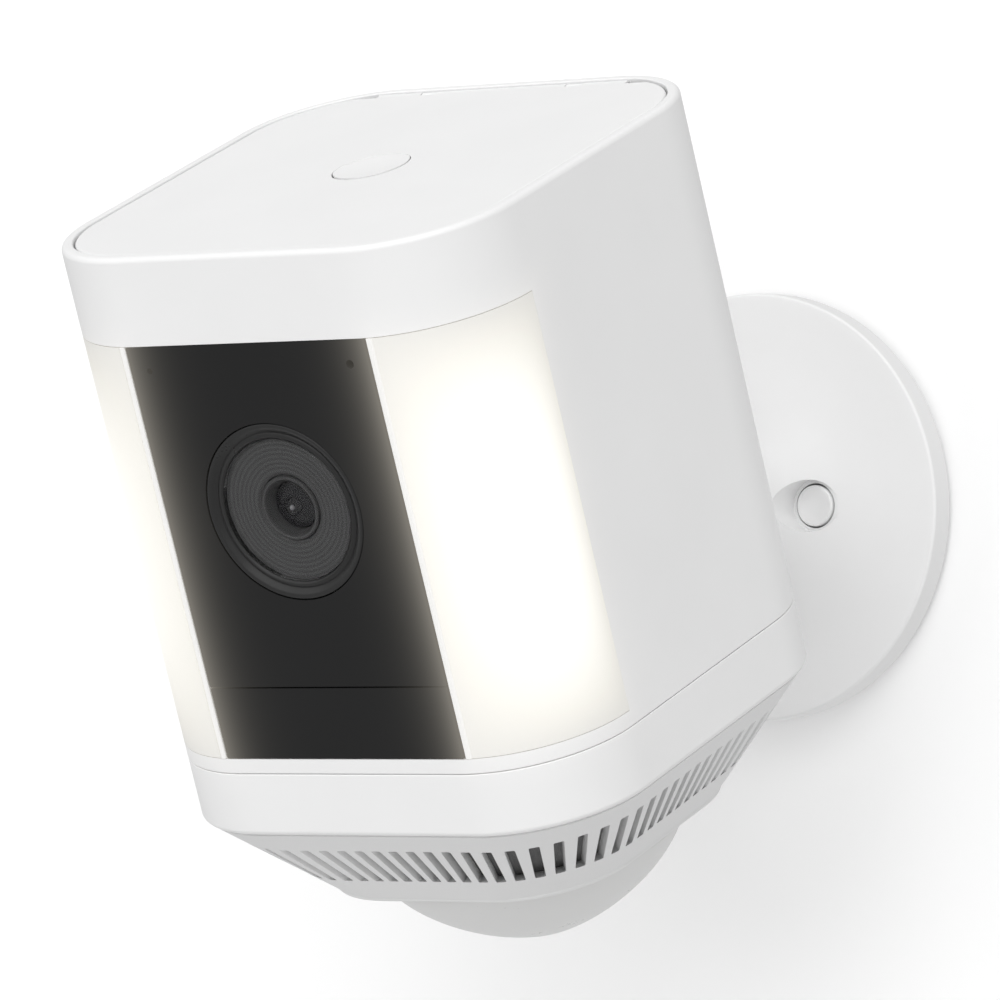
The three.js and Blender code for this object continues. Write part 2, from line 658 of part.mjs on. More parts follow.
camera.add(
  part('wall_base', wallBase(), WHITE, 0.45),
  part('back_plate', backPlate(), STEEL, 0.5, 0.6),
  part('wall_gasket', latheY(closed([
    [30.7, -0.5], [32.5, -0.5], [32.5, 0], [30.7, 0],
  ]), 0, 0, 24), RUBBER, 0.9),
  part('arm_ball', armBall(), SOFT_WHITE, 0.4),
  part('arm_bolt', armBolt(), STEEL, 0.35, 0.9),
  part('ball_seat', ballSeat(), DARK, 0.5),
);
for (const [name, side] of [['left', -1], ['right', 1]]) {
  camera.add(
    part(`wall_screw_${name}`, wallScrew(side * SCREW_X), STEEL, 0.35, 0.9),
    part(`screw_cap_${name}`, screwCap(side * SCREW_X), WHITE, 0.45),
  );
}

const head = new THREE.Group();
head.position.set(0, HEAD_ORIGIN_Y, HEAD_ORIGIN_Z);
head.rotation.x = tilt;
camera.add(head);

head.add(
  part('housing_shell', housingShell(), WHITE, 0.4),
  part('battery_lid', batteryLid(), WHITE, 0.4),
  part('lid_button', lidButton(), WHITE, 0.4),
  part('lid_hinge_pin', cylinderX(PIN_RADIUS, -17, 17, LID_AXIS_Y, LID_AXIS_Z, 12), STEEL, 0.3, 0.9),
  part('lid_seal', lidSeal(), RUBBER, 0.9),
  part('top_deck', topDeck(), WHITE, 0.5),
  part('front_carrier', frontCarrier(), WHITE, 0.45),
  part('front_panel_upper', frontPanelUpper(), BLACK, 0.12),
  part('front_panel_lower', frontPanel(WINDOW_BOTTOM + GAP, PANEL_SEAM_Z - GAP / 2), BLACK, 0.12),
  part('bottom_cap', bottomCap(), WHITE, 0.4),
  part('cap_seal', capSeal(), RUBBER, 0.9),
  part('speaker_grille', speakerGrille(), SOFT_WHITE, 0.5),
  part('pir_dome', pirDome(), SOFT_WHITE, 0.35),
);

head.add(
  part('lens_ring', lensRing(), DARK, 0.3),
  part('lens_cover', cylinderY(11.4, 0.5, 1.3, LENS_X, LENS_Z, 32), GLASS, 0.05),
  part('lens_baffle', lensBaffle(), DARK, 0.5),
  part('lens_barrel', lensBarrel(), BLACK, 0.35),
  part('lens_front_element', lensFrontElement(), GLASS, 0.05),
  part('filter_housing', filterHousing(), BLACK, 0.6),
  part('ir_filter_blade', box(-3.5, 3.5, 16.6, 17.2, LENS_Z - 3.9, LENS_Z + 3.9), 0x8a4a55, 0.2),
  part('camera_board', cameraBoard(), BOARD_GREEN, 0.6),
  part('ir_board', irBoard(), BOARD_GREEN, 0.6),
  part('microphone', latheY([
    [0, 4.7], [1.8, 4.7], [2.1, 5], [2.1, 6.6], [0, 6.6],
  ], 18.9, -18.2, 16), STEEL, 0.4, 0.8),
);

for (const [name, side] of [['left', -1], ['right', 1]]) {
  head.add(
    part(`light_window_${name}`, lightWindow(side), GLOW, 0.35),
    part(`led_board_${name}`, ledBoard(side), 0xe9e9e6, 0.5),
    part(`reflector_${name}`, reflector(side), 0xf6f6f4, 0.25),
    part(`battery_${name}`, batteryPack(side), BATTERY, 0.5),
    part(`battery_tab_${name}`, batteryTab(side), 0xc9cbce, 0.5),
  );
}

head.add(
  part('battery_cradle', batteryCradle(), DARK, 0.6),
  part('main_board', box(-33, 33, 24, 66, -82.2, -80.6), BOARD_GREEN, 0.6),
  part('wifi_module', box(8, 24, 30, 48, -80.3, -78.5), STEEL, 0.35, 0.8),
  part('lower_deck', lowerDeck(), DARK, 0.6),
  part('speaker_frame', speakerFrame(), DARK, 0.5),
  part('speaker_cone', speakerCone(), 0x1c1c1e, 0.8),
  part('speaker_magnet', cylinderZ(9.5, -90.9, -86.6, 0, MID_Y, 20), STEEL, 0.4, 0.9),
  part('pir_board', cylinderZ(20, -107.5, -106.3, 0, MID_Y, 20), BOARD_GREEN, 0.6),
  part('pir_sensor', latheZ([
    [0, -112.6], [4, -112.6], [4.6, -112], [4.6, -108.6], [5, -108.6], [5, -107.8], [0, -107.8],
  ], 0, MID_Y, 14), STEEL, 0.3, 0.9),
);

head.add(
  part('socket_housing', socketHousing(), WHITE, 0.45),
  part('clamp_collar', clampCollar(), SOFT_WHITE, 0.45),
  part('setup_button', latheY([
    [0, 78.7], [5.2, 78.7], [5.2, 80.1], [4, 80.1], [4, 81.6], [3.5, 81.9], [0, 81.9],
  ], 0, BUTTON_Z, 16), ORANGE, 0.5),
  part('charge_port', chargePort(), DARK, 0.5),
  part('port_flap', portFlap(), WHITE, 0.7),
);
flangeScrews.forEach((place, i) => {
  head.add(part(`socket_screw_${i + 1}`, socketScrew(place), STEEL, 0.35, 0.9));
});

export default camera;
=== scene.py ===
import json
import math

import bmesh
import bpy
from mathutils import Matrix, Vector


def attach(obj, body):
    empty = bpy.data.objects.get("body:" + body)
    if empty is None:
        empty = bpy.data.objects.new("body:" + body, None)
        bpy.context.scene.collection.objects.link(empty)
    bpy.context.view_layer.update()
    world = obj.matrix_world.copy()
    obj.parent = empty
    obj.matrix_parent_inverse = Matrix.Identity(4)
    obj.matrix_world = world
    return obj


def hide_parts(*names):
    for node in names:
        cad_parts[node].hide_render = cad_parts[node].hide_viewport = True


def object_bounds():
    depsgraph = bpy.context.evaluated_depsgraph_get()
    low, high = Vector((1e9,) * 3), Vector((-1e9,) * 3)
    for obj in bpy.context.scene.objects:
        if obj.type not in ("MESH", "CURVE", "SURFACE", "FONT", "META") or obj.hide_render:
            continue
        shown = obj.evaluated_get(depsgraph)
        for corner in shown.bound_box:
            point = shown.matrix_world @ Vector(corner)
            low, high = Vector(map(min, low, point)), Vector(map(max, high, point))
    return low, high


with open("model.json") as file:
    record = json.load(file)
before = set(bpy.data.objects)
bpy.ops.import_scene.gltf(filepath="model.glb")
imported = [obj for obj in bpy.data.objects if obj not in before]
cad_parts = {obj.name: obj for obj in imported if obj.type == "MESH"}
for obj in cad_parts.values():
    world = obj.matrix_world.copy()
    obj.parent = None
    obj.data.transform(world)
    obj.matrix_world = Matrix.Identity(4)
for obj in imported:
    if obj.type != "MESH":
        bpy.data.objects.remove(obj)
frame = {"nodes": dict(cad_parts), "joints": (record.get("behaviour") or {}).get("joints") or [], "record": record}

# Floodlight security camera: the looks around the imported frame.
# Head pieces are drawn in millimetres in the head's own frame (x across, y from the front face back,
# z up from the top), wall pieces in millimetres in the row frame, and finish_piece() puts both in place.
cad_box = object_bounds()
JOINTS = {joint["name"]: joint for joint in frame["joints"]}

# ---- Driving dimensions, in millimetres ----
MM = 0.001
GAP = 0.3
SEAM = 0.1  # the fine line left between neighbouring outer covers
WALL = 1.9
HEAD_CORNER = 19.6
PIVOT_BACK = 79.2  # the lid's hinge line in the head's frame
PIVOT_HEIGHT = -0.95
FRONT_CUT = (-5, 10)  # the reach of a cutter through the front
REAR_CUT = (75, 90)  # the reach of a cutter through the rear wall
STEPS = 20  # points in each corner of an outline
ROUND = 96  # segments of a large round piece


# ---- Frames ----
def head_frame():
    """The head's frame in the row frame, from the lid's hinge line and the way its latch slides."""
    up = -Vector(JOINTS["lid_latch"]["axis"]).normalized()
    across = Vector((1, 0, 0))
    back = up.cross(across)
    turn = Matrix((across, back, up)).transposed().to_4x4()
    hinge = Vector(JOINTS["lid_hinge"]["pos_m"])
    origin = hinge - turn @ Vector((0, PIVOT_BACK, PIVOT_HEIGHT)) * MM
    return Matrix.Translation(origin) @ turn


HEAD = head_frame()
WALL_FRAME = Matrix.Identity(4)
TO_MM = Matrix.Scale(MM, 4)


def span(node, place=HEAD):
    """Lowest and highest corners of a CAD node in the head's (or the wall's) frame, in millimetres."""
    back = (place @ TO_MM).inverted()
    points = [back @ vertex.co for vertex in frame["nodes"][node].data.vertices]
    low = Vector(min(point[axis] for point in points) for axis in range(3))
    high = Vector(max(point[axis] for point in points) for axis in range(3))
    return low, high


def middle(node, place=HEAD):
    low, high = span(node, place)
    return (low + high) / 2


shell_low, shell_high = span("housing_shell")
cap_low, cap_high = span("bottom_cap")
grille_low, grille_high = span("speaker_grille")
dome_low, dome_high = span("pir_dome")
panel_low, panel_high = span("front_panel_upper")
sill_low, sill_high = span("front_panel_lower")
carrier_high = span("front_carrier")[1]
window_low, window_high = span("light_window_right")
HALF_X = shell_high.x
MID_Y = shell_high.y / 2
LENS = middle("lens_cover")
SOCKET = middle("clamp_collar")
LATCH = middle("lid_button")
LATCH_TOP = span("lid_button")[1].z
LATCH_HOLE = 6.32
SOCKET_HOLE = 15.8
WINDOW_TOP = panel_high.z + GAP
WINDOW_BOTTOM = sill_low.z - GAP
RIM_HALF = (26.8, 27.6)  # the grille's lower rim
RIM_CORNER = 16.0
SLOT_COUNT = 72
DOME_RIM = -109.2  # the height where the dome starts to bulge
DOME_RADIUS = 25.9
PACK_X = 13.2  # the battery packs' middles lie this far to each side
BAY_Y = 45.8  # the middle of the battery bay
EAR_X = 14  # the lid's two hinge ears lie this far to each side


# ---- Points and outlines ----
def arc(centre_a, centre_b, radius, start, end, steps=6):
    """Points on a circular arc in a plane, with its angles in degrees."""
    points = []
    for step in range(steps + 1):
        angle = math.radians(start + (end - start) * step / steps)
        points.append((centre_a + radius * math.cos(angle), centre_b + radius * math.sin(angle)))
    return points


def smooth_line(points, steps=5):
    """A Catmull-Rom curve through the points."""
    padded = [points[0], *points, points[-1]]
    line = []
    for i in range(1, len(padded) - 2):
        p0, p1, p2, p3 = (Vector(padded[i + k]) for k in (-1, 0, 1, 2))
        for step in range(steps):
            t = step / steps
            bend = (2 * p0 - 5 * p1 + 4 * p2 - p3) * t * t + (3 * p1 - p0 - 3 * p2 + p3) * t ** 3
            line.append(tuple(p1 + 0.5 * ((p2 - p0) * t + bend)))
    line.append(tuple(points[-1]))
    return line


def rounded_outline(half_a, half_b, centre_a, centre_b, radius, steps=STEPS):
    """A rounded rectangle as points, anticlockwise from the middle of its right side."""
    points = []
    for quarter, (sign_a, sign_b) in enumerate(((1, 1), (-1, 1), (-1, -1), (1, -1))):
        corner_a = centre_a + sign_a * (half_a - radius)
        corner_b = centre_b + sign_b * (half_b - radius)
        points += arc(corner_a, corner_b, radius, quarter * 90, quarter * 90 + 90, steps)
    return points


def head_outline(inset, z):
    corner = HEAD_CORNER - inset
    outline = rounded_outline(HALF_X - inset, MID_Y - inset, 0, MID_Y, corner)
    return [(x, y, z) for x, y in outline]


def grille_outline(share, inset, z):
    """The grille's outline between its top (share 0) and its lower rim (share 1)."""
    half_x = (HALF_X - 1) * (1 - share) + RIM_HALF[0] * share - inset
    half_y = (MID_Y - 1) * (1 - share) + RIM_HALF[1] * share - inset
    corner = (HEAD_CORNER - 1) * (1 - share) + RIM_CORNER * share - inset
    return [(x, y, z) for x, y in rounded_outline(half_x, half_y, 0, MID_Y, corner)]


# ---- Meshes ----
def add(name, data):
    """Puts a mesh, a lamp or a camera in the scene."""
    thing = bpy.data.objects.new(name, data)
    bpy.context.scene.collection.objects.link(thing)
    return thing


def mesh_piece(name, vertices, faces):
    mesh = bpy.data.meshes.new(name)
    mesh.from_pydata([tuple(vertex) for vertex in vertices], [], faces)
    face_out(mesh)
    return add(name, mesh)


def face_out(mesh):
    """Merges doubled points and turns every face outwards."""
    work = bmesh.new()
    work.from_mesh(mesh)
    bmesh.ops.remove_doubles(work, verts=work.verts, dist=1e-5)
    bmesh.ops.recalc_face_normals(work, faces=work.faces)
    work.to_mesh(mesh)
    work.free()


def skin(name, sections, looped=False):
    """Joins outlines with equal point counts; a looped stack closes on itself, any other has end faces."""
    count = len(sections[0])
    vertices = [point for section in sections for point in section]
    faces = []
    levels = len(sections) if looped else len(sections) - 1
    for level in range(levels):
        here = level * count
        there = (level + 1) % len(sections) * count
        for i in range(count):
            nxt = (i + 1) % count
            faces.append((here + i, here + nxt, there + nxt, there + i))
    if not looped:
        faces.append(tuple(range(count)))
        faces.append(tuple(range(len(vertices) - count, len(vertices))))
    return mesh_piece(name, vertices, faces)


def sleeve(name, profile):
    """A closed (inset, z) profile carried round the head's outline."""
    return skin(name, [head_outline(inset, z) for inset, z in profile], looped=True)


def stack(name, profile, half_x, half_y, centre_x, centre_y, corner, steps=STEPS, looped=False):
    """An (inset, z) profile carried round a rounded rectangle."""
    sections = []
    for inset, z in profile:
        outline = rounded_outline(half_x - inset, half_y - inset, centre_x, centre_y, corner - inset, steps)
        sections.append([(x, y, z) for x, y in outline])
    return skin(name, sections, looped)


def placed(a, b, height, along):
    """A point from its place across an axis and its height along it."""
    return {"x": (height, a, b), "y": (a, height, b), "z": (a, b, height)}[along]


def lathe(name, profile, centre=(0, 0, 0), along="y", segments=ROUND, looped=False):
    """A (radius, height) profile turned about an axis. It closes on itself or starts and ends on the axis."""
    sections = []
    for step in range(segments):
        angle = 2 * math.pi * step / segments
        section = []
        for radius, height in profile:
            a, b = radius * math.cos(angle), radius * math.sin(angle)
            section.append(Vector(centre) + Vector(placed(a, b, height, along)))
        sections.append(section)
    count = len(profile)
    faces = []
    for step in range(segments):
        here, there = step * count, (step + 1) % segments * count
        for i in range(count if looped else count - 1):
            nxt = (i + 1) % count
            faces.append((here + i, here + nxt, there + nxt, there + i))
    return mesh_piece(name, [point for section in sections for point in section], faces)


def prism(name, outline, low, high, edge=0.0, along="z"):
    """An outline drawn in a plane and given a thickness along the third axis."""
    piece = skin(name, [[placed(a, b, height, along) for a, b in outline] for height in (low, high)])
    if edge:
        soften(piece, edge)
    return piece


def block(name, low, high, edge=0.0):
    """A box between two corners."""
    outline = [(low[0], low[1]), (high[0], low[1]), (high[0], high[1]), (low[0], high[1])]
    return prism(name, outline, low[2], high[2], edge)


def rod(name, radius, low, high, centre, along="y", segments=48):
    """A plain cylinder; centre gives its place across the axis."""
    outline = arc(centre[0], centre[1], radius, 0, 360 - 360 / segments, segments - 1)
    return prism(name, outline, low, high, along=along)


def bake(piece):
    """Applies the piece's modifiers."""
    graph = bpy.context.evaluated_depsgraph_get()
    graph.update()
    made = bpy.data.meshes.new_from_object(piece.evaluated_get(graph))
    piece.modifiers.clear()
    old = piece.data
    piece.data = made
    bpy.data.meshes.remove(old)


def combine(piece, operation, tools):
    """Cuts or joins the piece with the tools, and deletes them."""
    for tool in tools:
        change = piece.modifiers.new(operation, "BOOLEAN")
        change.operation = operation
        change.solver = "EXACT"
        change.object = tool
    bake(piece)
    for tool in tools:
        bpy.data.objects.remove(tool)
    return piece


def carve(piece, *tools):
    return combine(piece, "DIFFERENCE", tools)


def unite(piece, *others):
    return combine(piece, "UNION", others)


def gather(name, parts):
    """Several separate solids as one mesh."""
    work = bmesh.new()
    for part in parts:
        work.from_mesh(part.data)
    mesh = bpy.data.meshes.new(name)
    work.to_mesh(mesh)
    work.free()
    for part in parts:
        bpy.data.objects.remove(part)
    return add(name, mesh)


def soften(piece, width, segments=2, angle=40):
    """Rounds the piece's sharp edges."""
    bevel = piece.modifiers.new("edge", "BEVEL")
    bevel.width = width
    bevel.segments = segments
    bevel.limit_method = "ANGLE"
    bevel.angle_limit = math.radians(angle)
    bevel.use_clamp_overlap = True
    bake(piece)
    return piece


def finish_piece(piece, body, slot, nodes, place=HEAD, angle=32, material=None):
    """Puts a piece in the row frame, on its body, with its finish and the nodes it stands for."""
    piece.data.transform(place @ TO_MM)
    face_out(piece.data)
    piece.data.shade_smooth()
    piece.data.set_sharp_from_angle(angle=math.radians(angle))
    even = piece.modifiers.new("even", "WEIGHTED_NORMAL")
    even.keep_sharp = True
    bake(piece)
    piece.data.materials.clear()
    piece.data.materials.append(material or MATERIALS[slot])
    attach(piece, body)
    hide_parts(*nodes)


# ---- Materials ----
class Shader:
    """A small helper that strings shader nodes together."""

    def __init__(self, name):
        self.material = bpy.data.materials.new(name)
        self.material.use_nodes = True
        self.nodes = self.material.node_tree.nodes
        self.links = self.material.node_tree.links
        self.surface = self.nodes["Principled BSDF"]
        self.out = self.nodes["Material Output"]
        self.place = self.nodes.new("ShaderNodeTexCoord").outputs["Object"]

    def set(self, **values):
        for key, value in values.items():
            self.surface.inputs[key.replace("_", " ")].default_value = value

    def link(self, source, target):
        self.links.new(source, target)

    def feed(self, key, source):
        """Runs a varying colour or value into one of the surface's sockets."""
        self.link(source, self.surface.inputs[key])

    def math(self, operation, *values):
        node = self.nodes.new("ShaderNodeMath")
        node.operation = operation
        for i, value in enumerate(values):
            if isinstance(value, (int, float)):
                node.inputs[i].default_value = value
            else:
                self.link(value, node.inputs[i])
        return node.outputs[0]

    def noise(self, scale, detail=3.0, stretch=None):
        node = self.nodes.new("ShaderNodeTexNoise")
        node.inputs["Scale"].default_value = scale
        node.inputs["Detail"].default_value = detail
        vector = self.place
        if stretch:
            mapping = self.nodes.new("ShaderNodeMapping")
            mapping.inputs["Scale"].default_value = stretch
            self.link(vector, mapping.inputs["Vector"])
            vector = mapping.outputs["Vector"]
        self.link(vector, node.inputs["Vector"])
        return node.outputs["Fac"]

    def remap(self, value, low, high):
        node = self.nodes.new("ShaderNodeMapRange")
        self.link(value, node.inputs["Value"])
        node.inputs["To Min"].default_value = low
        node.inputs["To Max"].default_value = high
        return node.outputs["Result"]

    def mix(self, share, first, second):
        node = self.nodes.new("ShaderNodeMix")
        node.data_type = "RGBA"
        for value, key in ((share, 0), (first, 6), (second, 7)):
            if isinstance(value, (int, float)):
                node.inputs[key].default_value = value
            elif isinstance(value, tuple):
                node.inputs[key].default_value = (*value, 1)
            else:
                self.link(value, node.inputs[key])
        return node.outputs[2]

    def bump(self, height, strength, distance):
        node = self.nodes.new("ShaderNodeBump")
        node.inputs["Strength"].default_value = strength
        node.inputs["Distance"].default_value = distance
        self.link(height, node.inputs["Height"])
        self.feed("Normal", node.outputs["Normal"])

    def head_place(self):
        """The shaded point in the head's frame, in metres, as separate x, y and z."""
        back = HEAD.inverted()
        mapping = self.nodes.new("ShaderNodeMapping")
        mapping.inputs["Location"].default_value = back.to_translation()
        mapping.inputs["Rotation"].default_value = back.to_euler()
        self.link(self.place, mapping.inputs["Vector"])
        parts = self.nodes.new("ShaderNodeSeparateXYZ")
        self.link(mapping.outputs["Vector"], parts.inputs["Vector"])
        return parts.outputs

    def window_distance(self):
        """How far the shaded point lies outside the corner windows, in millimetres."""
        x, y, z = self.head_place()
        beside = self.math("SUBTRACT", window_low.x * MM, self.math("ABSOLUTE", x))
        behind = self.math("SUBTRACT", y, window_high.y * MM)
        above = self.math("SUBTRACT", z, WINDOW_TOP * MM)
        below = self.math("SUBTRACT", WINDOW_BOTTOM * MM, z)
        outside = [self.math("MAXIMUM", side, 0.0) for side in (beside, behind, above, below)]
        squares = [self.math("POWER", side, 2.0) for side in outside]
        total = squares[0]
        for square in squares[1:]:
            total = self.math("ADD", total, square)
        return self.math("MULTIPLY", self.math("SQRT", total), 1 / MM)

    def painted_glow(self, strength, reach, colour=(1.0, 0.93, 0.8)):
        """Painted glow: emission on the plastic that fades with distance from the corner windows, standing in for
        their light soaking into it.
        """
        faded = self.math("EXPONENT", self.math("MULTIPLY", self.window_distance(), -1 / reach))
        self.feed("Emission Strength", self.math("MULTIPLY", faded, strength))
        self.surface.inputs["Emission Color"].default_value = (*colour, 1)


def plastic(name, colour, rough=0.42, grain=1900.0, relief=0.12, variation=0.015, painted_glow=None, **values):
    """Moulded plastic: fine spark-eroded grain, slight mottling and uneven gloss."""
    shader = Shader(name)
    shader.set(**values)
    mottle = shader.noise(55.0, 2.0)
    darker = tuple(channel * (1 - variation * 2) for channel in colour)
    lighter = tuple(min(1.0, channel * (1 + variation)) for channel in colour)
    shader.feed("Base Color", shader.mix(mottle, darker, lighter))
    fine = shader.noise(grain, 4.0)
    rub = shader.noise(160.0, 3.0)
    uneven = shader.remap(rub, rough - 0.05, rough + 0.05)
    shader.feed("Roughness", shader.math("ADD", uneven, shader.remap(fine, -0.03, 0.03)))
    shader.bump(fine, relief, 0.00006)
    # Optional painted glow near the corner windows: emission that stands in for their light.
    if painted_glow:
        shader.painted_glow(*painted_glow)
    return shader.material


def metal(name, colour, rough=0.32, stretch=(1.0, 1.0, 14.0)):
    """Plated steel with fine drawn lines."""
    shader = Shader(name)
    shader.set(Metallic=1.0)
    lines = shader.noise(420.0, 4.0, stretch=stretch)
    stain = shader.noise(70.0, 3.0)
    shader.feed("Base Color", shader.mix(stain, tuple(0.86 * channel for channel in colour), colour))
    shader.feed("Roughness", shader.remap(lines, rough - 0.08, rough + 0.12))
    shader.bump(lines, 0.15, 0.00004)
    return shader.material


def gloss_black():
    """Polished black acrylic, with a painted glow near the windows that stands in for their light bleeding into
    its edges.
    """
    shader = Shader("gloss_black")
    shader.set(Specular_IOR_Level=0.16)
    cloud = shader.noise(30.0, 2.0)
    shader.feed("Base Color", shader.mix(cloud, (0.011, 0.011, 0.0112), (0.014, 0.014, 0.0142)))
    smear = shader.noise(90.0, 4.0)
    shader.feed("Roughness", shader.remap(smear, 0.06, 0.16))
    shader.bump(shader.noise(1200.0, 2.0), 0.02, 0.00003)
    # Painted glow near the corner windows.
    shader.painted_glow(0.34, 2.9)
    return shader.material


def diffuser():
    """Lit corner window: white in its middle, cream towards its ends, and plain where it meets the side."""
    shader = Shader("lit_diffuser")
    shader.set(Base_Color=(0.86, 0.85, 0.82, 1), Roughness=0.4)
    place = shader.nodes.new("ShaderNodeUVMap")
    parts = shader.nodes.new("ShaderNodeSeparateXYZ")
    shader.link(place.outputs["UV"], parts.inputs["Vector"])
    from_rear = shader.math("SUBTRACT", 1.0, parts.outputs["X"])
    rear = shader.math("SUBTRACT", 1.0, shader.math("POWER", parts.outputs["X"], 5.0))
    front = shader.math("SUBTRACT", 1.0, shader.math("POWER", from_rear, 1.6))
    off_centre = shader.math("SUBTRACT", shader.math("MULTIPLY", parts.outputs["Y"], 2.0), 1.0)
    upright = shader.math("SUBTRACT", 1.0, shader.math("POWER", shader.math("ABSOLUTE", off_centre), 2.6))
    across = shader.math("ADD", 0.3, shader.math("MULTIPLY", front, rear))
    share = shader.math("MULTIPLY", across, upright)
    dots = shader.noise(900.0, 2.0)
    warm = shader.mix(share, (1.0, 0.9, 0.62), (1.0, 1.0, 0.97))
    shader.feed("Emission Color", warm)
    glow = shader.math("ADD", shader.remap(share, 0.03, 0.42), shader.remap(dots, -0.004, 0.004))
    shader.feed("Emission Strength", glow)
    shader.bump(dots, 0.05, 0.00004)
    return shader.material


def clear_glass(name, tint, rough):
    """Coated glass as a film of gloss over what lies behind it."""
    shader = Shader(name)
    shader.nodes.remove(shader.surface)
    through = shader.nodes.new("ShaderNodeBsdfTransparent")
    through.inputs["Color"].default_value = (*tint, 1)
    gloss = shader.nodes.new("ShaderNodeBsdfGlossy")
    gloss.inputs["Color"].default_value = (0.9, 0.9, 0.9, 1)
    shader.link(shader.remap(shader.noise(250.0, 3.0), rough, rough * 2.5), gloss.inputs["Roughness"])
    edge = shader.nodes.new("ShaderNodeFresnel")
    edge.inputs["IOR"].default_value = 1.14
    blend = shader.nodes.new("ShaderNodeMixShader")
    shader.link(edge.outputs[0], blend.inputs[0])
    shader.link(through.outputs[0], blend.inputs[1])
    shader.link(gloss.outputs[0], blend.inputs[2])
    shader.link(blend.outputs[0], shader.out.inputs["Surface"])
    return shader.material


def turned_grey():
    """Dark anodised grey with the fine rings of a lathe round the lens's axis."""
    shader = Shader("turned_grey")
    shader.set(Specular_IOR_Level=0.25, Roughness=0.5)
    place = shader.head_place()
    across = shader.math("SUBTRACT", place["X"], LENS.x * MM)
    height = shader.math("SUBTRACT", place["Z"], LENS.z * MM)
    squares = shader.math("ADD", shader.math("POWER", across, 2.0), shader.math("POWER", height, 2.0))
    radius = shader.math("SQRT", squares)
    rings = shader.math("SINE", shader.math("MULTIPLY", radius, 2 * math.pi / (0.75 * MM)))
    worn = shader.noise(160.0, 3.0)
    tone = shader.math("ADD", shader.remap(worn, 0.3, 0.7), shader.math("MULTIPLY", rings, 0.4))
    shader.feed("Base Color", shader.mix(tone, (0.062, 0.062, 0.063), (0.096, 0.096, 0.097)))
    shader.feed("Roughness", shader.remap(worn, 0.4, 0.6))
    shader.bump(rings, 0.2, 0.00003)
    return shader.material


def speaker_cloth():
    """Grey acoustic cloth, woven from fine threads."""
    shader = Shader("speaker_cloth")
    shader.set(Roughness=0.9, Specular_IOR_Level=0.2)
    weave = shader.nodes.new("ShaderNodeTexMagic")
    weave.turbulence_depth = 1
    weave.inputs["Scale"].default_value = 2600.0
    shader.link(shader.place, weave.inputs["Vector"])
    shader.feed("Base Color", shader.mix(weave.outputs["Fac"], (0.12, 0.12, 0.12), (0.2, 0.2, 0.2)))
    shader.bump(weave.outputs["Fac"], 0.5, 0.00008)
    return shader.material


def circuit_board():
    """Green solder mask with faint copper tracks under it."""
    shader = Shader("circuit_board")
    tracks = shader.nodes.new("ShaderNodeTexBrick")
    tracks.inputs["Scale"].default_value = 260.0
    tracks.inputs["Mortar Size"].default_value = 0.03
    tracks.inputs["Color1"].default_value = (0.02, 0.12, 0.06, 1)
    tracks.inputs["Color2"].default_value = (0.03, 0.15, 0.08, 1)
    tracks.inputs["Mortar"].default_value = (0.07, 0.24, 0.11, 1)
    shader.link(shader.place, tracks.inputs["Vector"])
    shader.feed("Base Color", tracks.outputs["Color"])
    shader.feed("Roughness", shader.remap(shader.noise(600.0), 0.25, 0.45))
    shader.bump(tracks.outputs["Fac"], 0.3, 0.00005)
    return shader.material


MATERIALS = {
    # The shell's white carries a faint painted glow near the corner windows.
    "white_plastic": plastic("white_shell", (0.87, 0.87, 0.87), 0.4, painted_glow=(0.06, 3.0)),
    "mount_plastic": plastic("white_mount", (0.88, 0.88, 0.88), 0.44),
    "grille_plastic": plastic("white_grille", (0.79, 0.79, 0.79), 0.46),
    "dome_plastic": plastic("milky_dome", (0.75, 0.75, 0.745), 0.3, relief=0.04, Subsurface_Weight=0.12,
                            Subsurface_Radius=(1, 1, 0.9), Subsurface_Scale=0.0015),
    "panel_black": gloss_black(),
    "dark_plastic": plastic("dark_grain", (0.045, 0.045, 0.048), 0.5, relief=0.25, variation=0.08),
    "lens_black": plastic("lens_black", (0.017, 0.017, 0.017), 0.3, relief=0.08, variation=0.08,
                          Specular_IOR_Level=0.3),
    "lens_glass": clear_glass("coated_glass", (0.95, 0.95, 0.95), 0.02),
    "filter_glass": clear_glass("filter_glass", (0.5, 0.25, 0.3), 0.03),
    "diffuser": diffuser(),
    "light_white": plastic("reflector_white", (0.9, 0.9, 0.88), 0.25),
    "board_green": circuit_board(),
    "steel": metal("plated_steel", (0.62, 0.63, 0.65)),
    "rubber_dark": plastic("seal_rubber", (0.035, 0.035, 0.037), 0.75, relief=0.35, variation=0.1),
    "cone_paper": plastic("cone_paper", (0.03, 0.03, 0.032), 0.85, 900.0, 0.6, 0.15),
    "battery_case": plastic("battery_case", (0.075, 0.078, 0.083), 0.5, relief=0.3, variation=0.06),
    "tab_grey": plastic("tab_grey", (0.5, 0.51, 0.52), 0.45),
    "button_orange": plastic("button_orange", (0.8, 0.22, 0.03), 0.35, variation=0.04),
}
MOUNT_WHITE = MATERIALS["mount_plastic"]
GLASS_BLACK = plastic("pupil_black", (0.016, 0.016, 0.018), 0.2, 300.0, 0.0, Specular_IOR_Level=0.3)
# Light grey for the pupil's small bead: a painted glint.
PAINTED_GLINT = plastic("painted_glint", (0.32, 0.32, 0.33), 0.12, 300.0, 0.0)
FUNNEL_GREY = turned_grey()
CLOTH = speaker_cloth()
# The strips' white carries a stronger painted glow near the corner windows.
STRIP_WHITE = plastic("strip_white", (0.87, 0.87, 0.86), 0.4, painted_glow=(0.13, 2.0))


def dress_cad():
    """Gives every CAD node the material of its slot; finer pieces stand for the nodes that show."""
    for row in frame["record"]["subparts"]:
        data = frame["nodes"][row["node"]].data
        data.materials.clear()
        data.materials.append(MATERIALS[row["material_slot"]])


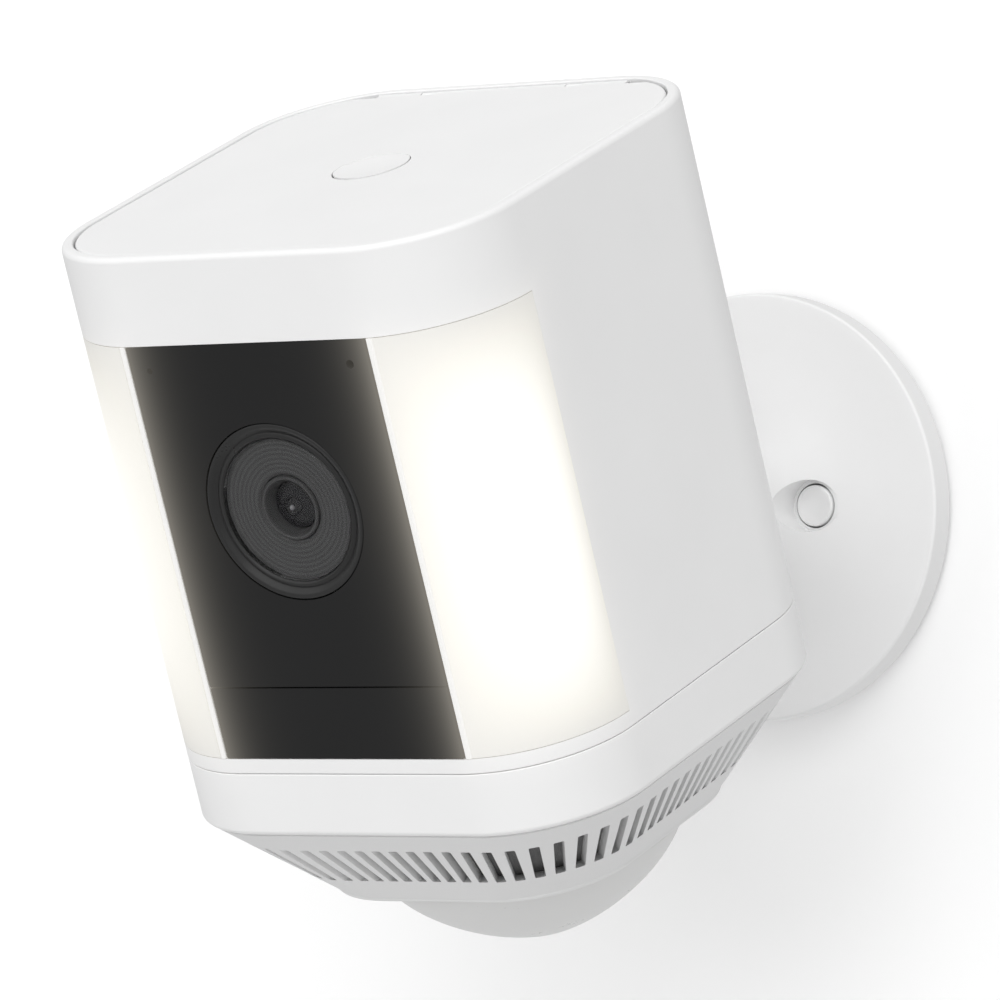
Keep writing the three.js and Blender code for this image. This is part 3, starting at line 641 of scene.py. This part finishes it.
# ---- Head casing ----
def socket_hole(name):
    return rod(name, SOCKET_HOLE, *REAR_CUT, (SOCKET.x, SOCKET.z), segments=ROUND)


def screw_holes(near, far):
    """Cutters for the three screws that hold the socket's flange to the shell."""
    spots = [middle(f"socket_screw_{i}") for i in range(1, 4)]
    return [rod("screw_hole", 1.5, near, far, (spot.x, spot.z), segments=24) for spot in spots]


def make_shell():
    """The sleeve, open for the windows and the panel in front and for the socket and fittings behind."""
    low = shell_low.z
    profile = [
        *arc(0.9, -0.9, 0.9, 180, 90, 8),
        *arc(WALL - 0.25, -0.25, 0.25, 90, 0, 3),
        *arc(WALL - 0.2, low + 0.2, 0.2, 0, -90, 3),
        *arc(0.2, low + 0.2, 0.2, 270, 180, 4),
    ]
    shell = sleeve("camera_shell", profile)
    opening = block("opening", (-60, -5, WINDOW_BOTTOM), (60, HEAD_CORNER, WINDOW_TOP))
    button = middle("setup_button")
    port = middle("charge_port")
    tools = [opening, socket_hole("socket"), rod("button", 4.3, *REAR_CUT, (button.x, button.z))]
    tools.append(prism("port", rounded_outline(8.3, 5.1, 0, port.z + 0.3, 0.4, 6), *REAR_CUT, along="y"))
    carve(shell, *tools, *screw_holes(*REAR_CUT))
    finish_piece(shell, "head", "white_plastic", ["housing_shell"])


def make_lid():
    """The flat lid with its hinge roll, relieved where its rear corners swing."""
    inset = WALL + GAP
    top, bottom = -0.2, span("battery_lid")[0].z
    sections = [head_outline(inset + 0.3 - a, z) for a, z in arc(0, bottom + 0.3, 0.3, -90, 0, 3)]
    sections += [head_outline(inset + 0.5 - a, z) for a, z in arc(0, top - 0.5, 0.5, 0, 90, 5)]
    plate = skin("battery_cover", sections)
    carve(plate, block("rear", (-60, PIVOT_BACK, -10), (60, 100, 10)))
    knuckle = rod("knuckle", 0.85, -24, 24, (PIVOT_BACK, PIVOT_HEIGHT), along="x", segments=32)
    trim = skin("trim", [head_outline(inset, z) for z in (-6, 2)])
    combine(knuckle, "INTERSECT", [trim])
    unite(plate, knuckle)
    tools = [rod("bore", 0.55, -40, 40, (PIVOT_BACK, PIVOT_HEIGHT), along="x", segments=20)]
    for side in (-1, 1):
        ends = sorted((side * 24, side * 40))
        tools.append(block("relief", (ends[0], PIVOT_BACK - 1.1, -6), (ends[1], 90, 4)))
        ear = side * EAR_X
        tools.append(block("notch", (ear - 1.62, PIVOT_BACK - 0.95, -6), (ear + 1.62, 90, 4)))
    tools.append(rod("latch", LATCH_HOLE, -6, 4, (LATCH.x, LATCH.y), along="z", segments=128))
    carve(plate, *tools)
    finish_piece(plate, "lid", "white_plastic", ["battery_lid"])


def make_latch():
    """A flat press button with a shallow hollow for the thumb and a crescent groove at its front."""
    foot = span("lid_button")[0].z
    radius, flange = LATCH_HOLE - 0.015, 7.6
    rim = LATCH_TOP + 0.02
    spot = (LATCH.x, LATCH.y)
    dish = smooth_line([(0, rim - 0.2), (3.0, rim - 0.16), (5.0, rim - 0.04), (radius - 0.2, rim)], 4)
    step = foot + 0.6
    profile = [*dish, (radius, rim - 0.03), (radius, step), (flange, step), (flange, foot), (0, foot)]
    button = lathe("lid_latch_button", profile, (LATCH.x, LATCH.y, 0), "z", 128)
    groove = rod("groove", radius + 0.5, rim - 1.3, rim + 1, spot, "z", 128)
    kept = rod("kept", radius - 0.2, rim - 2, rim + 2, (LATCH.x - 0.42, LATCH.y + 0.66), "z", 128)
    carve(button, carve(groove, kept))
    finish_piece(button, "latch", "white_plastic", ["lid_button"])


def make_cap():
    low, high = cap_low.z, cap_high.z
    profile = [
        *arc(0.2, high - 0.2 + GAP - SEAM, 0.2, 180, 90, 4),
        (WALL, high + GAP - SEAM),
        (WALL, low),
        (1.0, low),
        *arc(1.0, low + 1.0, 1.0, 270, 180, 8),
    ]
    cap = sleeve("bottom_cover", profile)
    carve(cap, socket_hole("notch"))
    finish_piece(cap, "head", "white_plastic", ["bottom_cap"])


def slot_cutter(angle):
    """A slot with rounded corners that runs outwards from the head's axis."""
    low, high, width = -106.8, -99.1, 1.7
    near, far = 18, 46
    outline = rounded_outline(width / 2, (high - low) / 2, 0, (high + low) / 2, 0.25, 3)
    tool = prism("slot", outline, near, far, along="y")
    turn = Matrix.Rotation(angle - math.pi / 2, 4, "Z")
    tool.data.transform(Matrix.Translation((0, MID_Y, 0)) @ turn)
    return tool


def make_grille():
    """The tapering speaker base with its ring of slots, and the cloth behind them."""
    top, bottom = grille_high.z, grille_low.z
    shoulder = cap_low.z - SEAM
    sections = [
        grille_outline(0, 3.2, shoulder),
        grille_outline(0, 0.25, shoulder),
        grille_outline(0, 0, shoulder - 0.25),
    ]
    sections += [grille_outline(1, 0.8 - a, z) for a, z in arc(0, bottom + 0.8, 0.8, 0, -90, 5)]
    grille = skin("speaker_base", sections)
    hollow = [(0, 2.6, top + 5), (0, 2.6, shoulder - 0.6), (1, 2.2, bottom + 1.6)]
    carve(grille, skin("hollow", [grille_outline(*row) for row in hollow]))
    carve(grille, rod("dome_hole", 25.1, bottom - 5, bottom + 5, (0, MID_Y), "z", ROUND))
    pitch = 2 * math.pi / SLOT_COUNT
    carve(grille, gather("slots", [slot_cutter((i + 0.5) * pitch) for i in range(SLOT_COUNT)]))
    finish_piece(grille, "head", "grille_plastic", ["speaker_grille"])
    cloth = skin("speaker_cloth", [
        grille_outline(share, inset, shoulder - 1 + share * (bottom + 2.6 - shoulder))
        for share, inset in ((0.0, 2.75), (0.93, 2.4), (0.93, 3.0), (0.0, 3.35))
    ], looped=True)
    finish_piece(cloth, "head", "grille_plastic", ["speaker_grille"], material=CLOTH)


def dome_depth(radius):
    """How low the dome's outer face lies at a distance from its axis."""
    height = DOME_RIM - dome_low.z
    return DOME_RIM - height * (1 - (radius / DOME_RADIUS) ** 1.45) ** 0.58


def make_dome():
    radius = dome_high.x
    inside = radius - 1.2
    steps = 28
    shares = [math.sin(step / steps * math.pi / 2) for step in range(steps + 1)]
    outer = [(radius * share, dome_depth(radius * share)) for share in shares]
    inner = [(inside * share, dome_depth(radius * share) + 1.3) for share in reversed(shares)]
    profile = [*outer, (radius, dome_high.z), (inside, dome_high.z), *inner]
    dome = lathe("sensor_dome", profile, (0, MID_Y, 0), "z", 128)
    finish_piece(dome, "head", "dome_plastic", ["pir_dome"], angle=50)


def make_windows():
    """Each window is a slice of the head's rounded corner, lit from behind."""
    steps = 36
    corner_x = HALF_X - HEAD_CORNER
    start = math.asin((window_low.x - GAP + 0.04 - corner_x) / HEAD_CORNER)
    end = math.radians(89.92)
    top, bottom = WINDOW_TOP - SEAM, WINDOW_BOTTOM + SEAM
    for side, name in ((-1, "left"), (1, "right")):
        outline = []
        for radius, order in ((HEAD_CORNER, range(steps + 1)), (HEAD_CORNER - WALL, range(steps, -1, -1))):
            for step in order:
                angle = start + (end - start) * step / steps
                x = side * (corner_x + radius * math.sin(angle))
                outline.append((x, HEAD_CORNER - radius * math.cos(angle), step / steps))
        window = skin(f"floodlight_{name}", [[(x, y, z) for x, y, _ in outline] for z in (bottom, top)])
        layer = window.data.uv_layers.new(name="UVMap")
        for loop in window.data.loops:
            x, y, z = window.data.vertices[loop.vertex_index].co
            angle = math.atan2(abs(x) - corner_x, HEAD_CORNER - y)
            layer.data[loop.index].uv = ((angle - start) / (end - start), (z - bottom) / (top - bottom))
        finish_piece(window, "head", "diffuser", [f"light_window_{name}"])


def make_carrier():
    """The frame behind the panels, whose edges show as two fine white strips with a painted glow near the windows.
    """
    half, back = carrier_high.x, carrier_high.y
    inner = panel_high.x + GAP
    web = 2.6
    outline = [
        (-half + 0.25, 0.0), (-inner - 0.15, 0.0), (-inner, 0.15), (-inner, web), (inner, web), (inner, 0.15),
        (inner + 0.15, 0.0), (half - 0.25, 0.0), (half, 0.25), (half, back), (-half, back), (-half, 0.25),
    ]
    carrier = prism("front_bezel", outline, WINDOW_BOTTOM + SEAM, WINDOW_TOP - SEAM)
    microphone = middle("microphone")
    carve(
        carrier,
        rod("lens", 11.8, *FRONT_CUT, (LENS.x, LENS.z), segments=ROUND),
        rod("recess", 14.6, -5, 3.4, (LENS.x, LENS.z), segments=ROUND),
        rod("sound", 0.8, *FRONT_CUT, (microphone.x, microphone.z), segments=20),
    )
    finish_piece(carrier, "head", "white_plastic", ["front_carrier"], material=STRIP_WHITE)


def make_panels():
    """The two black panels; the upper one has the lens opening and two small sound holes."""
    half = panel_high.x
    sound_height = -18.2
    sound_holes = ((-18.9, 0.5), (18.9, 0.7))  # the place across the panel, and the radius
    seam = (panel_low.z + sill_high.z) / 2
    rows = (("camera_panel_upper", "front_panel_upper", seam + 0.12, WINDOW_TOP - SEAM),
            ("camera_panel_lower", "front_panel_lower", WINDOW_BOTTOM + SEAM, seam - 0.12))
    for name, node, low, high in rows:
        outline = rounded_outline(half, (high - low) / 2, 0, (high + low) / 2, 0.2, 3)
        panel = prism(name, outline, 0, panel_high.y, along="y")
        if node == "front_panel_upper":
            tools = [rod("lens", 14.38, *FRONT_CUT, (LENS.x, LENS.z), segments=128)]
            for across, radius in sound_holes:
                tools.append(rod("sound", radius, *FRONT_CUT, (across, sound_height), segments=20))
            carve(panel, *tools)
        soften(panel, 0.12)
        finish_piece(panel, "head", "panel_black", [node])


# ---- Camera lens ----
def make_lens():
    """Profiles of radius and depth behind the panel's face, turned about the lens's axis."""
    centre = (LENS.x, 0, LENS.z)
    ring = lathe("lens_bezel", [
        (11.5, 1.3), (11.6, 0.75), (11.9, 0.5), (12.3, 0.55), (12.6, 0.75), (12.9, 0.6), (13.3, 0.2),
        (13.6, 0.05), *arc(13.9, 0.4, 0.4, 270, 360, 5), (14.3, 2.9), (11.7, 2.9), (11.5, 2.6),
    ], centre, segments=128, looped=True)
    finish_piece(ring, "head", "lens_black", ["lens_ring"])
    cover = lathe("lens_window", [
        (0, 0.6), (11.42, 0.6), (11.45, 0.63), (11.45, 1.27), (11.42, 1.3), (0, 1.3),
    ], centre)
    finish_piece(cover, "head", "lens_glass", ["lens_cover"])
    plate = [(11.45, 1.42), (11.3, 1.4), (10.6, 1.55), (5.7, 1.66), (5.4, 1.9)]
    baffle = lathe("lens_plate", [*plate, (5.4, 6), (11.45, 6)], centre, segments=128, looped=True)
    finish_piece(baffle, "head", "lens_black", ["lens_baffle"], material=FUNNEL_GREY)
    barrel = lathe("lens_tube", [
        (4.0, 2.9), (4.25, 2.3), (4.5, 1.85), *arc(4.88, 1.8, 0.34, 210, 350, 8), (5.25, 2.2), (5.25, 6.3),
        (7.5, 6.3), (7.5, 9), (6.2, 9), (6.2, 15), (4, 15),
    ], centre, segments=ROUND, looped=True)
    finish_piece(barrel, "head", "lens_black", ["lens_barrel"], material=FUNNEL_GREY)
    radius = 3.75
    crown = [(radius * share, 2.7 + 0.7 * share ** 2) for share in (0.45, 0.6, 0.75, 0.9, 1)]
    element = lathe("front_glass", [
        (0, 3.1), (1.2, 3.0), (1.5, 2.75), *crown, (radius, 6.4), (0, 6.4),
    ], centre, segments=64)
    finish_piece(element, "head", "lens_glass", ["lens_front_element"], material=GLASS_BLACK)
    # A small light grey bead left of the pupil's middle: a painted glint.
    glint_dot = lathe("painted_glint", [*arc(0, 3.0, 0.42, -90, -10, 6), (0.4, 3.3), (0, 3.3)],
                 (LENS.x - 0.6, 0, LENS.z - 0.4), segments=32)
    finish_piece(glint_dot, "head", "lens_glass", ["lens_front_element"], material=PAINTED_GLINT)


# ---- Wall mount ----
def make_wall_base():
    """The trumpet-shaped base, with a stepped pocket for each screw and its cap."""
    low, high = span("wall_base", WALL_FRAME)
    rim = high.x
    flare = smooth_line([
        (34.6, -5), (30, -5.35), (25, -6.2), (20, -8), (15.4, -10.8), (12, -13.6), (9.5, -17), (7.5, -21),
        (6.8, -23.4),
    ], 6)
    profile = [
        (34.5, -0.3), (rim - 0.2, -0.3), (rim, -0.5), *arc(rim - 0.6, -4.4, 0.6, 0, -70, 5), *flare,
        (6.4, low.y), (3.2, low.y), (3.2, -9), (6, -9), (6, -2.6), (34.5, -2.6),
    ]
    base = lathe("wall_flare", profile, segments=144, looped=True)
    tools = []
    for name in ("left", "right"):
        centre = middle(f"screw_cap_{name}", WALL_FRAME)
        spot = (centre.x, centre.z)
        for radius, near, far in ((4.3, -30, -8.7), (3.7, -9.5, -3.6), (2.2, -4, 1)):
            tools.append(rod("pocket", radius, near, far, spot))
    for tool in tools:
        carve(base, tool)
    finish_piece(base, "wall_mount", "mount_plastic", ["wall_base"], WALL_FRAME)


def make_screw_caps():
    for name in ("left", "right"):
        centre = middle(f"screw_cap_{name}", WALL_FRAME)
        profile = [
            (0, -9.0), (2.2, -9.02), (2.6, -9.14), *arc(3.1, -8.9, 0.3, 270, 360, 5), (3.4, -7.8),
            (2.9, -7.6), (2.9, -6.8), (0, -6.8),
        ]
        cap = lathe(f"screw_cover_{name}", profile, (centre.x, 0, centre.z), segments=64)
        finish_piece(cap, "wall_mount", "mount_plastic", [f"screw_cap_{name}"], WALL_FRAME)


def cross_slot(centre, low, high, length, width):
    """The two crossed cutters of a screw's drive."""
    return [block("slot", (centre.x - a, low, centre.z - b), (centre.x + a, high, centre.z + b))
            for a, b in ((length, width), (width, length))]


def make_wall_screws():
    """Countersunk screws whose threads run out into the wall."""
    pitch, turns, around = 1.6, 10, 24
    core, thread, point = 1.3, 0.48, 4.0
    for name in ("left", "right"):
        centre = middle(f"wall_screw_{name}", WALL_FRAME)
        tip, root = span(f"wall_screw_{name}", WALL_FRAME)[1].y, -3.9
        rows = turns * 12
        sections = []
        for row in range(rows + 1):
            y = root + (tip - root) * row / rows
            taper = min(1.0, (tip - y) / point)
            section = []
            for step in range(around):
                angle = 2 * math.pi * step / around
                phase = (y / pitch + step / around) % 1.0
                ridge = max(0.0, 1 - abs(phase - 0.5) * 5)
                radius = max(0.03, (core + thread * ridge) * taper)
                section.append((centre.x + radius * math.cos(angle), y, centre.z + radius * math.sin(angle)))
            sections.append(section)
        shank = skin("shank", sections)
        head = lathe("head", [(0, -6.3), (2.4, -6.3), (3.2, -5.4), (3.2, -5.2), (1.4, -3.85), (0, -3.85)],
                     (centre.x, 0, centre.z), segments=40)
        carve(head, *cross_slot(centre, -7, -5.4, 2, 0.4))
        screw = gather(f"anchor_screw_{name}", [shank, head])
        finish_piece(screw, "wall_mount", "steel", [f"wall_screw_{name}"], WALL_FRAME)


def make_back_plate():
    plate = lathe("mounting_plate", [
        (0, -2.3), (33.9, -2.3), (34.2, -2.0), (34.2, -0.3), (33.9, 0), (32.8, 0), (32.8, -0.8), (30.4, -0.8),
        (30.4, 0), (0, 0),
    ], segments=144)
    tools = []
    for name in ("left", "right"):
        centre = middle(f"wall_screw_{name}", WALL_FRAME)
        tools.append(rod("hole", 2.2, -5, 3, (centre.x, centre.z)))
    pockets = 12
    for i in range(pockets):
        angle = math.radians((i + 0.5) * 360 / pockets)
        pocket = prism("pocket", rounded_outline(2.2, 3.6, 0, 24.6, 1.0, 5), -0.7, 3, along="y")
        pocket.data.transform(Matrix.Rotation(angle, 4, "Y"))
        tools.append(pocket)
    carve(plate, gather("holes", tools))
    finish_piece(plate, "wall_mount", "steel", ["back_plate"], WALL_FRAME)
    ring = lathe("foam_ring", [(30.7, -0.6), (30.6, -0.2), (30.9, 0), (32.2, 0), (32.5, -0.2), (32.4, -0.6)],
                 segments=144, looped=True)
    finish_piece(ring, "wall_mount", "rubber_dark", ["wall_gasket"], WALL_FRAME)


def make_arm():
    ball_y = JOINTS["head_tilt"]["pos_m"][1] / MM
    radius, stem = 11.0, 5.0
    start = math.asin(stem / radius)
    steps = 24
    ball = []
    for step in range(steps + 1):
        angle = start + (math.pi - start) * step / steps
        ball.append((max(0.0, radius * math.sin(angle)), ball_y + radius * math.cos(angle)))
    neck = [
        (6.2, -24.3), (6.5, -24.6), (6.3, -25.5), (5.8, -27), (5.3, -29.5), (5.02, -32),
        (stem, ball[0][1] + 1),
    ]
    arm = lathe("ball_stem", [(0, -33), (2.3, -33), (2.3, -24.3), *neck, *ball[:-1], (0, ball_y - radius)])
    finish_piece(arm, "arm", "mount_plastic", ["arm_ball"], WALL_FRAME)


# ---- Ball socket and rear ----
def make_socket():
    """The cup round the ball, with its flange on the head's rear."""
    low, high = span("socket_housing")
    rear = shell_high.y + SEAM
    face = rear + 1.8
    profile = [
        (0, low.y), (15.2, low.y), (15.5, low.y + 0.3), (15.5, rear), (24.5, rear), (24.5, face - 0.5),
        *arc(24.0, face - 0.5, 0.5, 0, 90, 4), (17, face), *arc(16.6, face + 1.1, 1.1, 270, 180, 4),
        (15.5, high.y - 0.3), (15.2, high.y), (0, high.y),
    ]
    housing = lathe("socket_cup", profile, (SOCKET.x, 0, SOCKET.z))
    ball = Vector(JOINTS["head_tilt"]["pos_m"])
    centre = (HEAD @ TO_MM).inverted() @ ball
    bowl = 13.2
    sphere = arc(0, centre.y, bowl, -90, 90, 36)
    sphere[0], sphere[-1] = (0, centre.y - bowl), (0, centre.y + bowl)
    tools = [lathe("hollow", sphere, (SOCKET.x, 0, SOCKET.z))]
    tools.append(rod("mouth", 12.2, centre.y, 95, (SOCKET.x, SOCKET.z), segments=ROUND))
    tools += screw_holes(78, 90)
    lower = block("lower", (-30, rear - 0.2, -120), (30, face + 0.01, shell_low.z + 1))
    carve(lower, rod("keep", 15.5, 60, 95, (SOCKET.x, SOCKET.z), segments=ROUND))
    for tool in [*tools, lower]:
        carve(housing, tool)
    finish_piece(housing, "head", "white_plastic", ["socket_housing"], material=MOUNT_WHITE)


def make_seat():
    ball = Vector(JOINTS["head_tilt"]["pos_m"]) / MM
    points = []
    for radius, order in ((11.25, range(64, 136, 3)), (12.9, range(135, 63, -3))):
        for degrees in order:
            angle = math.radians(degrees)
            points.append((radius * math.sin(angle), ball.y + radius * math.cos(angle)))
    seat = lathe("ball_liner", points, looped=True)
    finish_piece(seat, "seat", "dark_plastic", ["ball_seat"], WALL_FRAME)


def make_collar():
    low, high = span("clamp_collar")
    ring = lathe("clamp_ring", [
        (15.8, low.y), (17.6, low.y), (18.2, low.y + 0.6), (18.2, high.y - 0.8),
        *arc(17.5, high.y - 0.7, 0.7, 0, 90, 5), (14.7, high.y), (14.4, high.y - 0.3), (14.4, 87.5),
        (15.8, 87.5),
    ], (SOCKET.x, 0, SOCKET.z), looped=True)
    tools = []
    for spot in arc(SOCKET.x, SOCKET.z, 18.9, 0, 330, 11):
        tools.append(rod("grip", 1.3, low.y - 1, high.y + 1, spot, segments=24))
    carve(ring, gather("grips", tools))
    soften(ring, 0.12)
    finish_piece(ring, "collar", "white_plastic", ["clamp_collar"], material=MOUNT_WHITE)


def make_rear_fittings():
    """The set-up key, and the charging inlet with its cover."""
    button = middle("setup_button")
    cap = lathe("setup_key_cap", [
        (0, 81.7), (2.6, 81.75), *arc(3.5, 81.4, 0.5, 90, 0, 4), (4, 80.1), (5.2, 80.1), (5.2, 78.7),
        (0, 78.7),
    ], (button.x, 0, button.z), segments=64)
    finish_piece(cap, "setup_key", "button_orange", ["setup_button"])
    low, high = span("port_flap")
    top = high.z - 0.6
    outline = rounded_outline(8, (top - low.z) / 2, 0, (top + low.z) / 2, 0.7, 5)
    plate = prism("port_cover", outline, 81, 82.2, along="y")
    roll = rod("roll", 0.6, -8, 8, (81.6, top), along="x", segments=24)
    lip = block("lip", (-3, 81.6, low.z), (3, high.y, low.z + 0.9))
    soften(unite(plate, roll, lip), 0.15)
    finish_piece(plate, "flap", "white_plastic", ["port_flap"], material=MOUNT_WHITE)
    low, high = span("charge_port")
    middle_z = (low.z + high.z) / 2
    inlet = block("charge_inlet", low, high, 0.4)
    carve(inlet, prism("mouth", rounded_outline(4.6, 1.6, 0, middle_z, 1.55, 8), 74, 90, along="y"))
    tongue = block("tongue", (-3.4, 74.2, middle_z - 0.35), (3.4, 79, middle_z + 0.35), 0.1)
    inlet = gather("charge_inlet_body", [inlet, tongue])
    finish_piece(inlet, "head", "dark_plastic", ["charge_port"])


def make_socket_screws():
    for i in range(1, 4):
        low, high = span(f"socket_screw_{i}")
        centre = (low + high) / 2
        face = high.y
        screw = lathe(f"flange_screw_{i}", [
            (0, low.y), (1.2, low.y), (1.2, face - 1.4), (2.2, face - 1.4), (2.2, face - 0.6),
            *arc(1.7, face - 0.5, 0.5, 0, 90, 4), (0, face),
        ], (centre.x, 0, centre.z), segments=40)
        carve(screw, *cross_slot(centre, face - 0.7, face + 1, 1.3, 0.28))
        finish_piece(screw, "head", "steel", [f"socket_screw_{i}"])


# ---- Under the lid ----
def make_deck():
    """The deck round the battery bay, with four screw wells and the hinge's two ears."""
    top, bottom = -4.5, span("top_deck")[0].z
    inset = WALL + GAP
    profile = [(inset, bottom), (inset, top - 0.3), (inset + 0.3, top)]
    deck = skin("bay_deck", [head_outline(*row) for row in profile])
    bay = prism("bay", rounded_outline(27.5, 22.5, 0, BAY_Y, 2.0, 6), bottom - 2, top + 2)
    tools = [bay]
    for x in (-31.5, 31.5):
        for y in (16, 66):
            tools.append(rod("screw_well", 2.4, top - 0.9, top + 2, (x, y), along="z", segments=32))
    carve(deck, *tools)
    ears = []
    for x in (-EAR_X, EAR_X):
        ear = block("ear", (x - 1.5, PIVOT_BACK - 0.8, top - 0.4), (x + 1.5, PIVOT_BACK + 0.8, PIVOT_HEIGHT))
        unite(ear, rod("eye", 0.8, x - 1.5, x + 1.5, (PIVOT_BACK, PIVOT_HEIGHT), along="x", segments=28))
        ears.append(ear)
    unite(deck, *ears)
    carve(deck, rod("bore", 0.5, -40, 40, (PIVOT_BACK, PIVOT_HEIGHT), along="x", segments=20))
    finish_piece(deck, "head", "white_plastic", ["top_deck"])


def make_seals():
    low, high = span("lid_seal")
    half_y, centre_y = (high.y - low.y) / 2, (high.y + low.y) / 2
    profile = [(0.2, low.z), *arc(0.8, high.z - 0.8, 0.8, 180, 0, 8), (1.4, low.z)]
    seal = stack("lid_gasket", profile, high.x, half_y, 0, centre_y, 15.5, looped=True)
    finish_piece(seal, "head", "rubber_dark", ["lid_seal"])


def make_batteries():
    """Two packs, each with a finger recess, a charge light and a ridged release tab."""
    for across, name in ((-PACK_X, "left"), (PACK_X, "right")):
        low, high = span(f"battery_{name}")
        centre = (low + high) / 2
        half_x, half_y = (high.x - low.x) / 2, (high.y - low.y) / 2
        profile = [(0.8, low.z), (0.0, low.z + 0.8)]
        profile += [(0.9 - a, z) for a, z in arc(0, high.z - 0.9, 0.9, 0, 90, 5)]
        pack = stack(f"battery_pack_{name}", profile, half_x, half_y, centre.x, centre.y, 3.5, 10)
        recess = prism("recess", rounded_outline(8, 6, across, 56, 1.5, 6), high.z - 2.5, high.z + 2)
        window = rod("gauge", 1.1, high.z - 0.5, high.z + 2, (across, 45), along="z", segments=32)
        carve(pack, recess, window)
        ribs = [block("rib", (across - 7, y, high.z - 2.6), (across + 7, y + 0.7, high.z - 0.5), 0.15)
                for y in (52.2, 54.6, 57.0, 59.4)]
        unite(pack, *ribs)
        finish_piece(pack, "head", "battery_case", [f"battery_{name}"])
        low, high = span(f"battery_tab_{name}")
        tab = prism(f"release_tab_{name}", rounded_outline(5, 3, across, 28.5, 0.8, 5), low.z, low.z + 1.3)
        ridges = [block("ridge", (across - 4.4, y, low.z + 1.0), (across + 4.4, y + 0.8, high.z), 0.2)
                  for y in (26.4, 28.2, 30.0)]
        unite(tab, *ridges)
        finish_piece(tab, f"tab_{name}", "tab_grey", [f"battery_tab_{name}"])


def make_cradle():
    low, high = span("battery_cradle")
    profile = [(0.0, low.z), (0.0, high.z - 0.4), (0.4, high.z)]
    cradle = stack("battery_bay", profile, 28.2, 23.2, 0, BAY_Y, 2.5, 8)
    carve(cradle, prism("pocket", rounded_outline(27, 22, 0, BAY_Y, 1.2, 6), low.z + 1.2, 5))
    finish_piece(cradle, "head", "dark_plastic", ["battery_cradle"])


# ---- Stage, light and camera ----
def stage_material(name, colour, one_sided):
    """Plain matt paint; a one-sided sheet can't be seen from its back."""
    shader = Shader(name)
    shader.set(Roughness=0.9, Specular_IOR_Level=0.1, Base_Color=(*colour, 1))
    if one_sided:
        shader.set(Emission_Color=(1, 1, 1, 1), Emission_Strength=0.03)
        hidden = shader.nodes.new("ShaderNodeBsdfTransparent")
        side = shader.nodes.new("ShaderNodeNewGeometry")
        blend = shader.nodes.new("ShaderNodeMixShader")
        shader.link(side.outputs["Backfacing"], blend.inputs[0])
        shader.link(shader.surface.outputs[0], blend.inputs[1])
        shader.link(hidden.outputs[0], blend.inputs[2])
        shader.link(blend.outputs[0], shader.out.inputs["Surface"])
    return shader.material


def make_stage():
    """A plain pale floor below the object, and a pale wall behind its plate that only its front shows."""
    size = 3.0
    ground = cad_box[0][2] - 0.45
    back = 0.0006
    corners = ((-size, -size), (size, -size), (size, size), (-size, size))
    floor = bpy.data.meshes.new("floor")
    floor.from_pydata([(x, y, ground) for x, y in corners], [], [(0, 1, 2, 3)])
    wall = bpy.data.meshes.new("wall")
    wall.from_pydata([(-size, back, ground), (-size, back, size), (size, back, size), (size, back, ground)],
                     [], [(0, 3, 2, 1)])
    for mesh, one_sided, colour in ((floor, False, (0.75, 0.75, 0.75)), (wall, True, (1.0, 1.0, 1.0))):
        mesh.materials.append(stage_material(f"{mesh.name}_paint", colour, one_sided))
        sheet = add(f"stage_{mesh.name}", mesh)
        if one_sided:
            sheet.visible_shadow = False
            sheet.visible_diffuse = False
            sheet.visible_glossy = False


STUDIO_STRENGTH = 0.605
SUN_SPREAD = math.radians(40)
SUNS = {  # the direction towards each lamp, and its strength
    "front": ((0.0, -1.0, 0.35), 0.47),
    "high_right": ((0.6, -1.0, 1.1), 1.0),
    "low_right": ((1.0, -0.9, 0.1), 0.28),
    "high_left": ((-0.8, -1.0, 0.7), 0.3),
}


def make_light():
    """An even white studio and broad suns."""
    world = bpy.data.worlds.new("studio")
    bpy.context.scene.world = world
    world.use_nodes = True
    background = world.node_tree.nodes["Background"]
    background.inputs["Color"].default_value = (1, 1, 1, 1)
    background.inputs["Strength"].default_value = STUDIO_STRENGTH
    for name, (direction, strength) in SUNS.items():
        data = bpy.data.lights.new(name, "SUN")
        data.energy = strength
        data.angle = SUN_SPREAD
        lamp = add(name, data)
        lamp.rotation_euler = Vector(direction).to_track_quat("Z", "Y").to_euler()


def make_camera():
    """The viewing angle, distance and framing of the picture the object is matched to."""
    azimuth, elevation, roll = math.radians(35.18), math.radians(-0.54), math.radians(-0.89)
    distance, shift_right, shift_up = 1252.45, 44.819, -1.195
    back = Vector((math.sin(azimuth) * math.cos(elevation), -math.cos(azimuth) * math.cos(elevation),
                   math.sin(elevation)))
    right = (-back).cross(Vector((0, 0, 1))).normalized()
    up = right.cross(-back)
    level_right = math.cos(roll) * right + math.sin(roll) * up
    level_up = math.cos(roll) * up - math.sin(roll) * right
    place = back * distance - level_right * shift_right - level_up * shift_up
    data = bpy.data.cameras.new("camera")
    data.lens = 271.24
    data.sensor_width = 36.0
    data.clip_start = 0.01
    camera = add("camera", data)
    turn = Matrix((level_right, level_up, back)).transposed().to_4x4()
    camera.matrix_world = Matrix.Translation(place * MM) @ turn
    bpy.context.scene.camera = camera
    bpy.context.scene.view_settings.view_transform = "Standard"


MAKERS = (
    make_camera, dress_cad, make_shell, make_lid, make_latch, make_cap, make_grille, make_dome,
    make_windows, make_carrier, make_panels, make_lens, make_wall_base, make_screw_caps,
    make_wall_screws, make_back_plate, make_arm, make_socket, make_seat, make_collar,
    make_rear_fittings, make_socket_screws, make_deck, make_seals, make_batteries, make_cradle,
    make_stage, make_light,
)
for make in MAKERS:
    make()
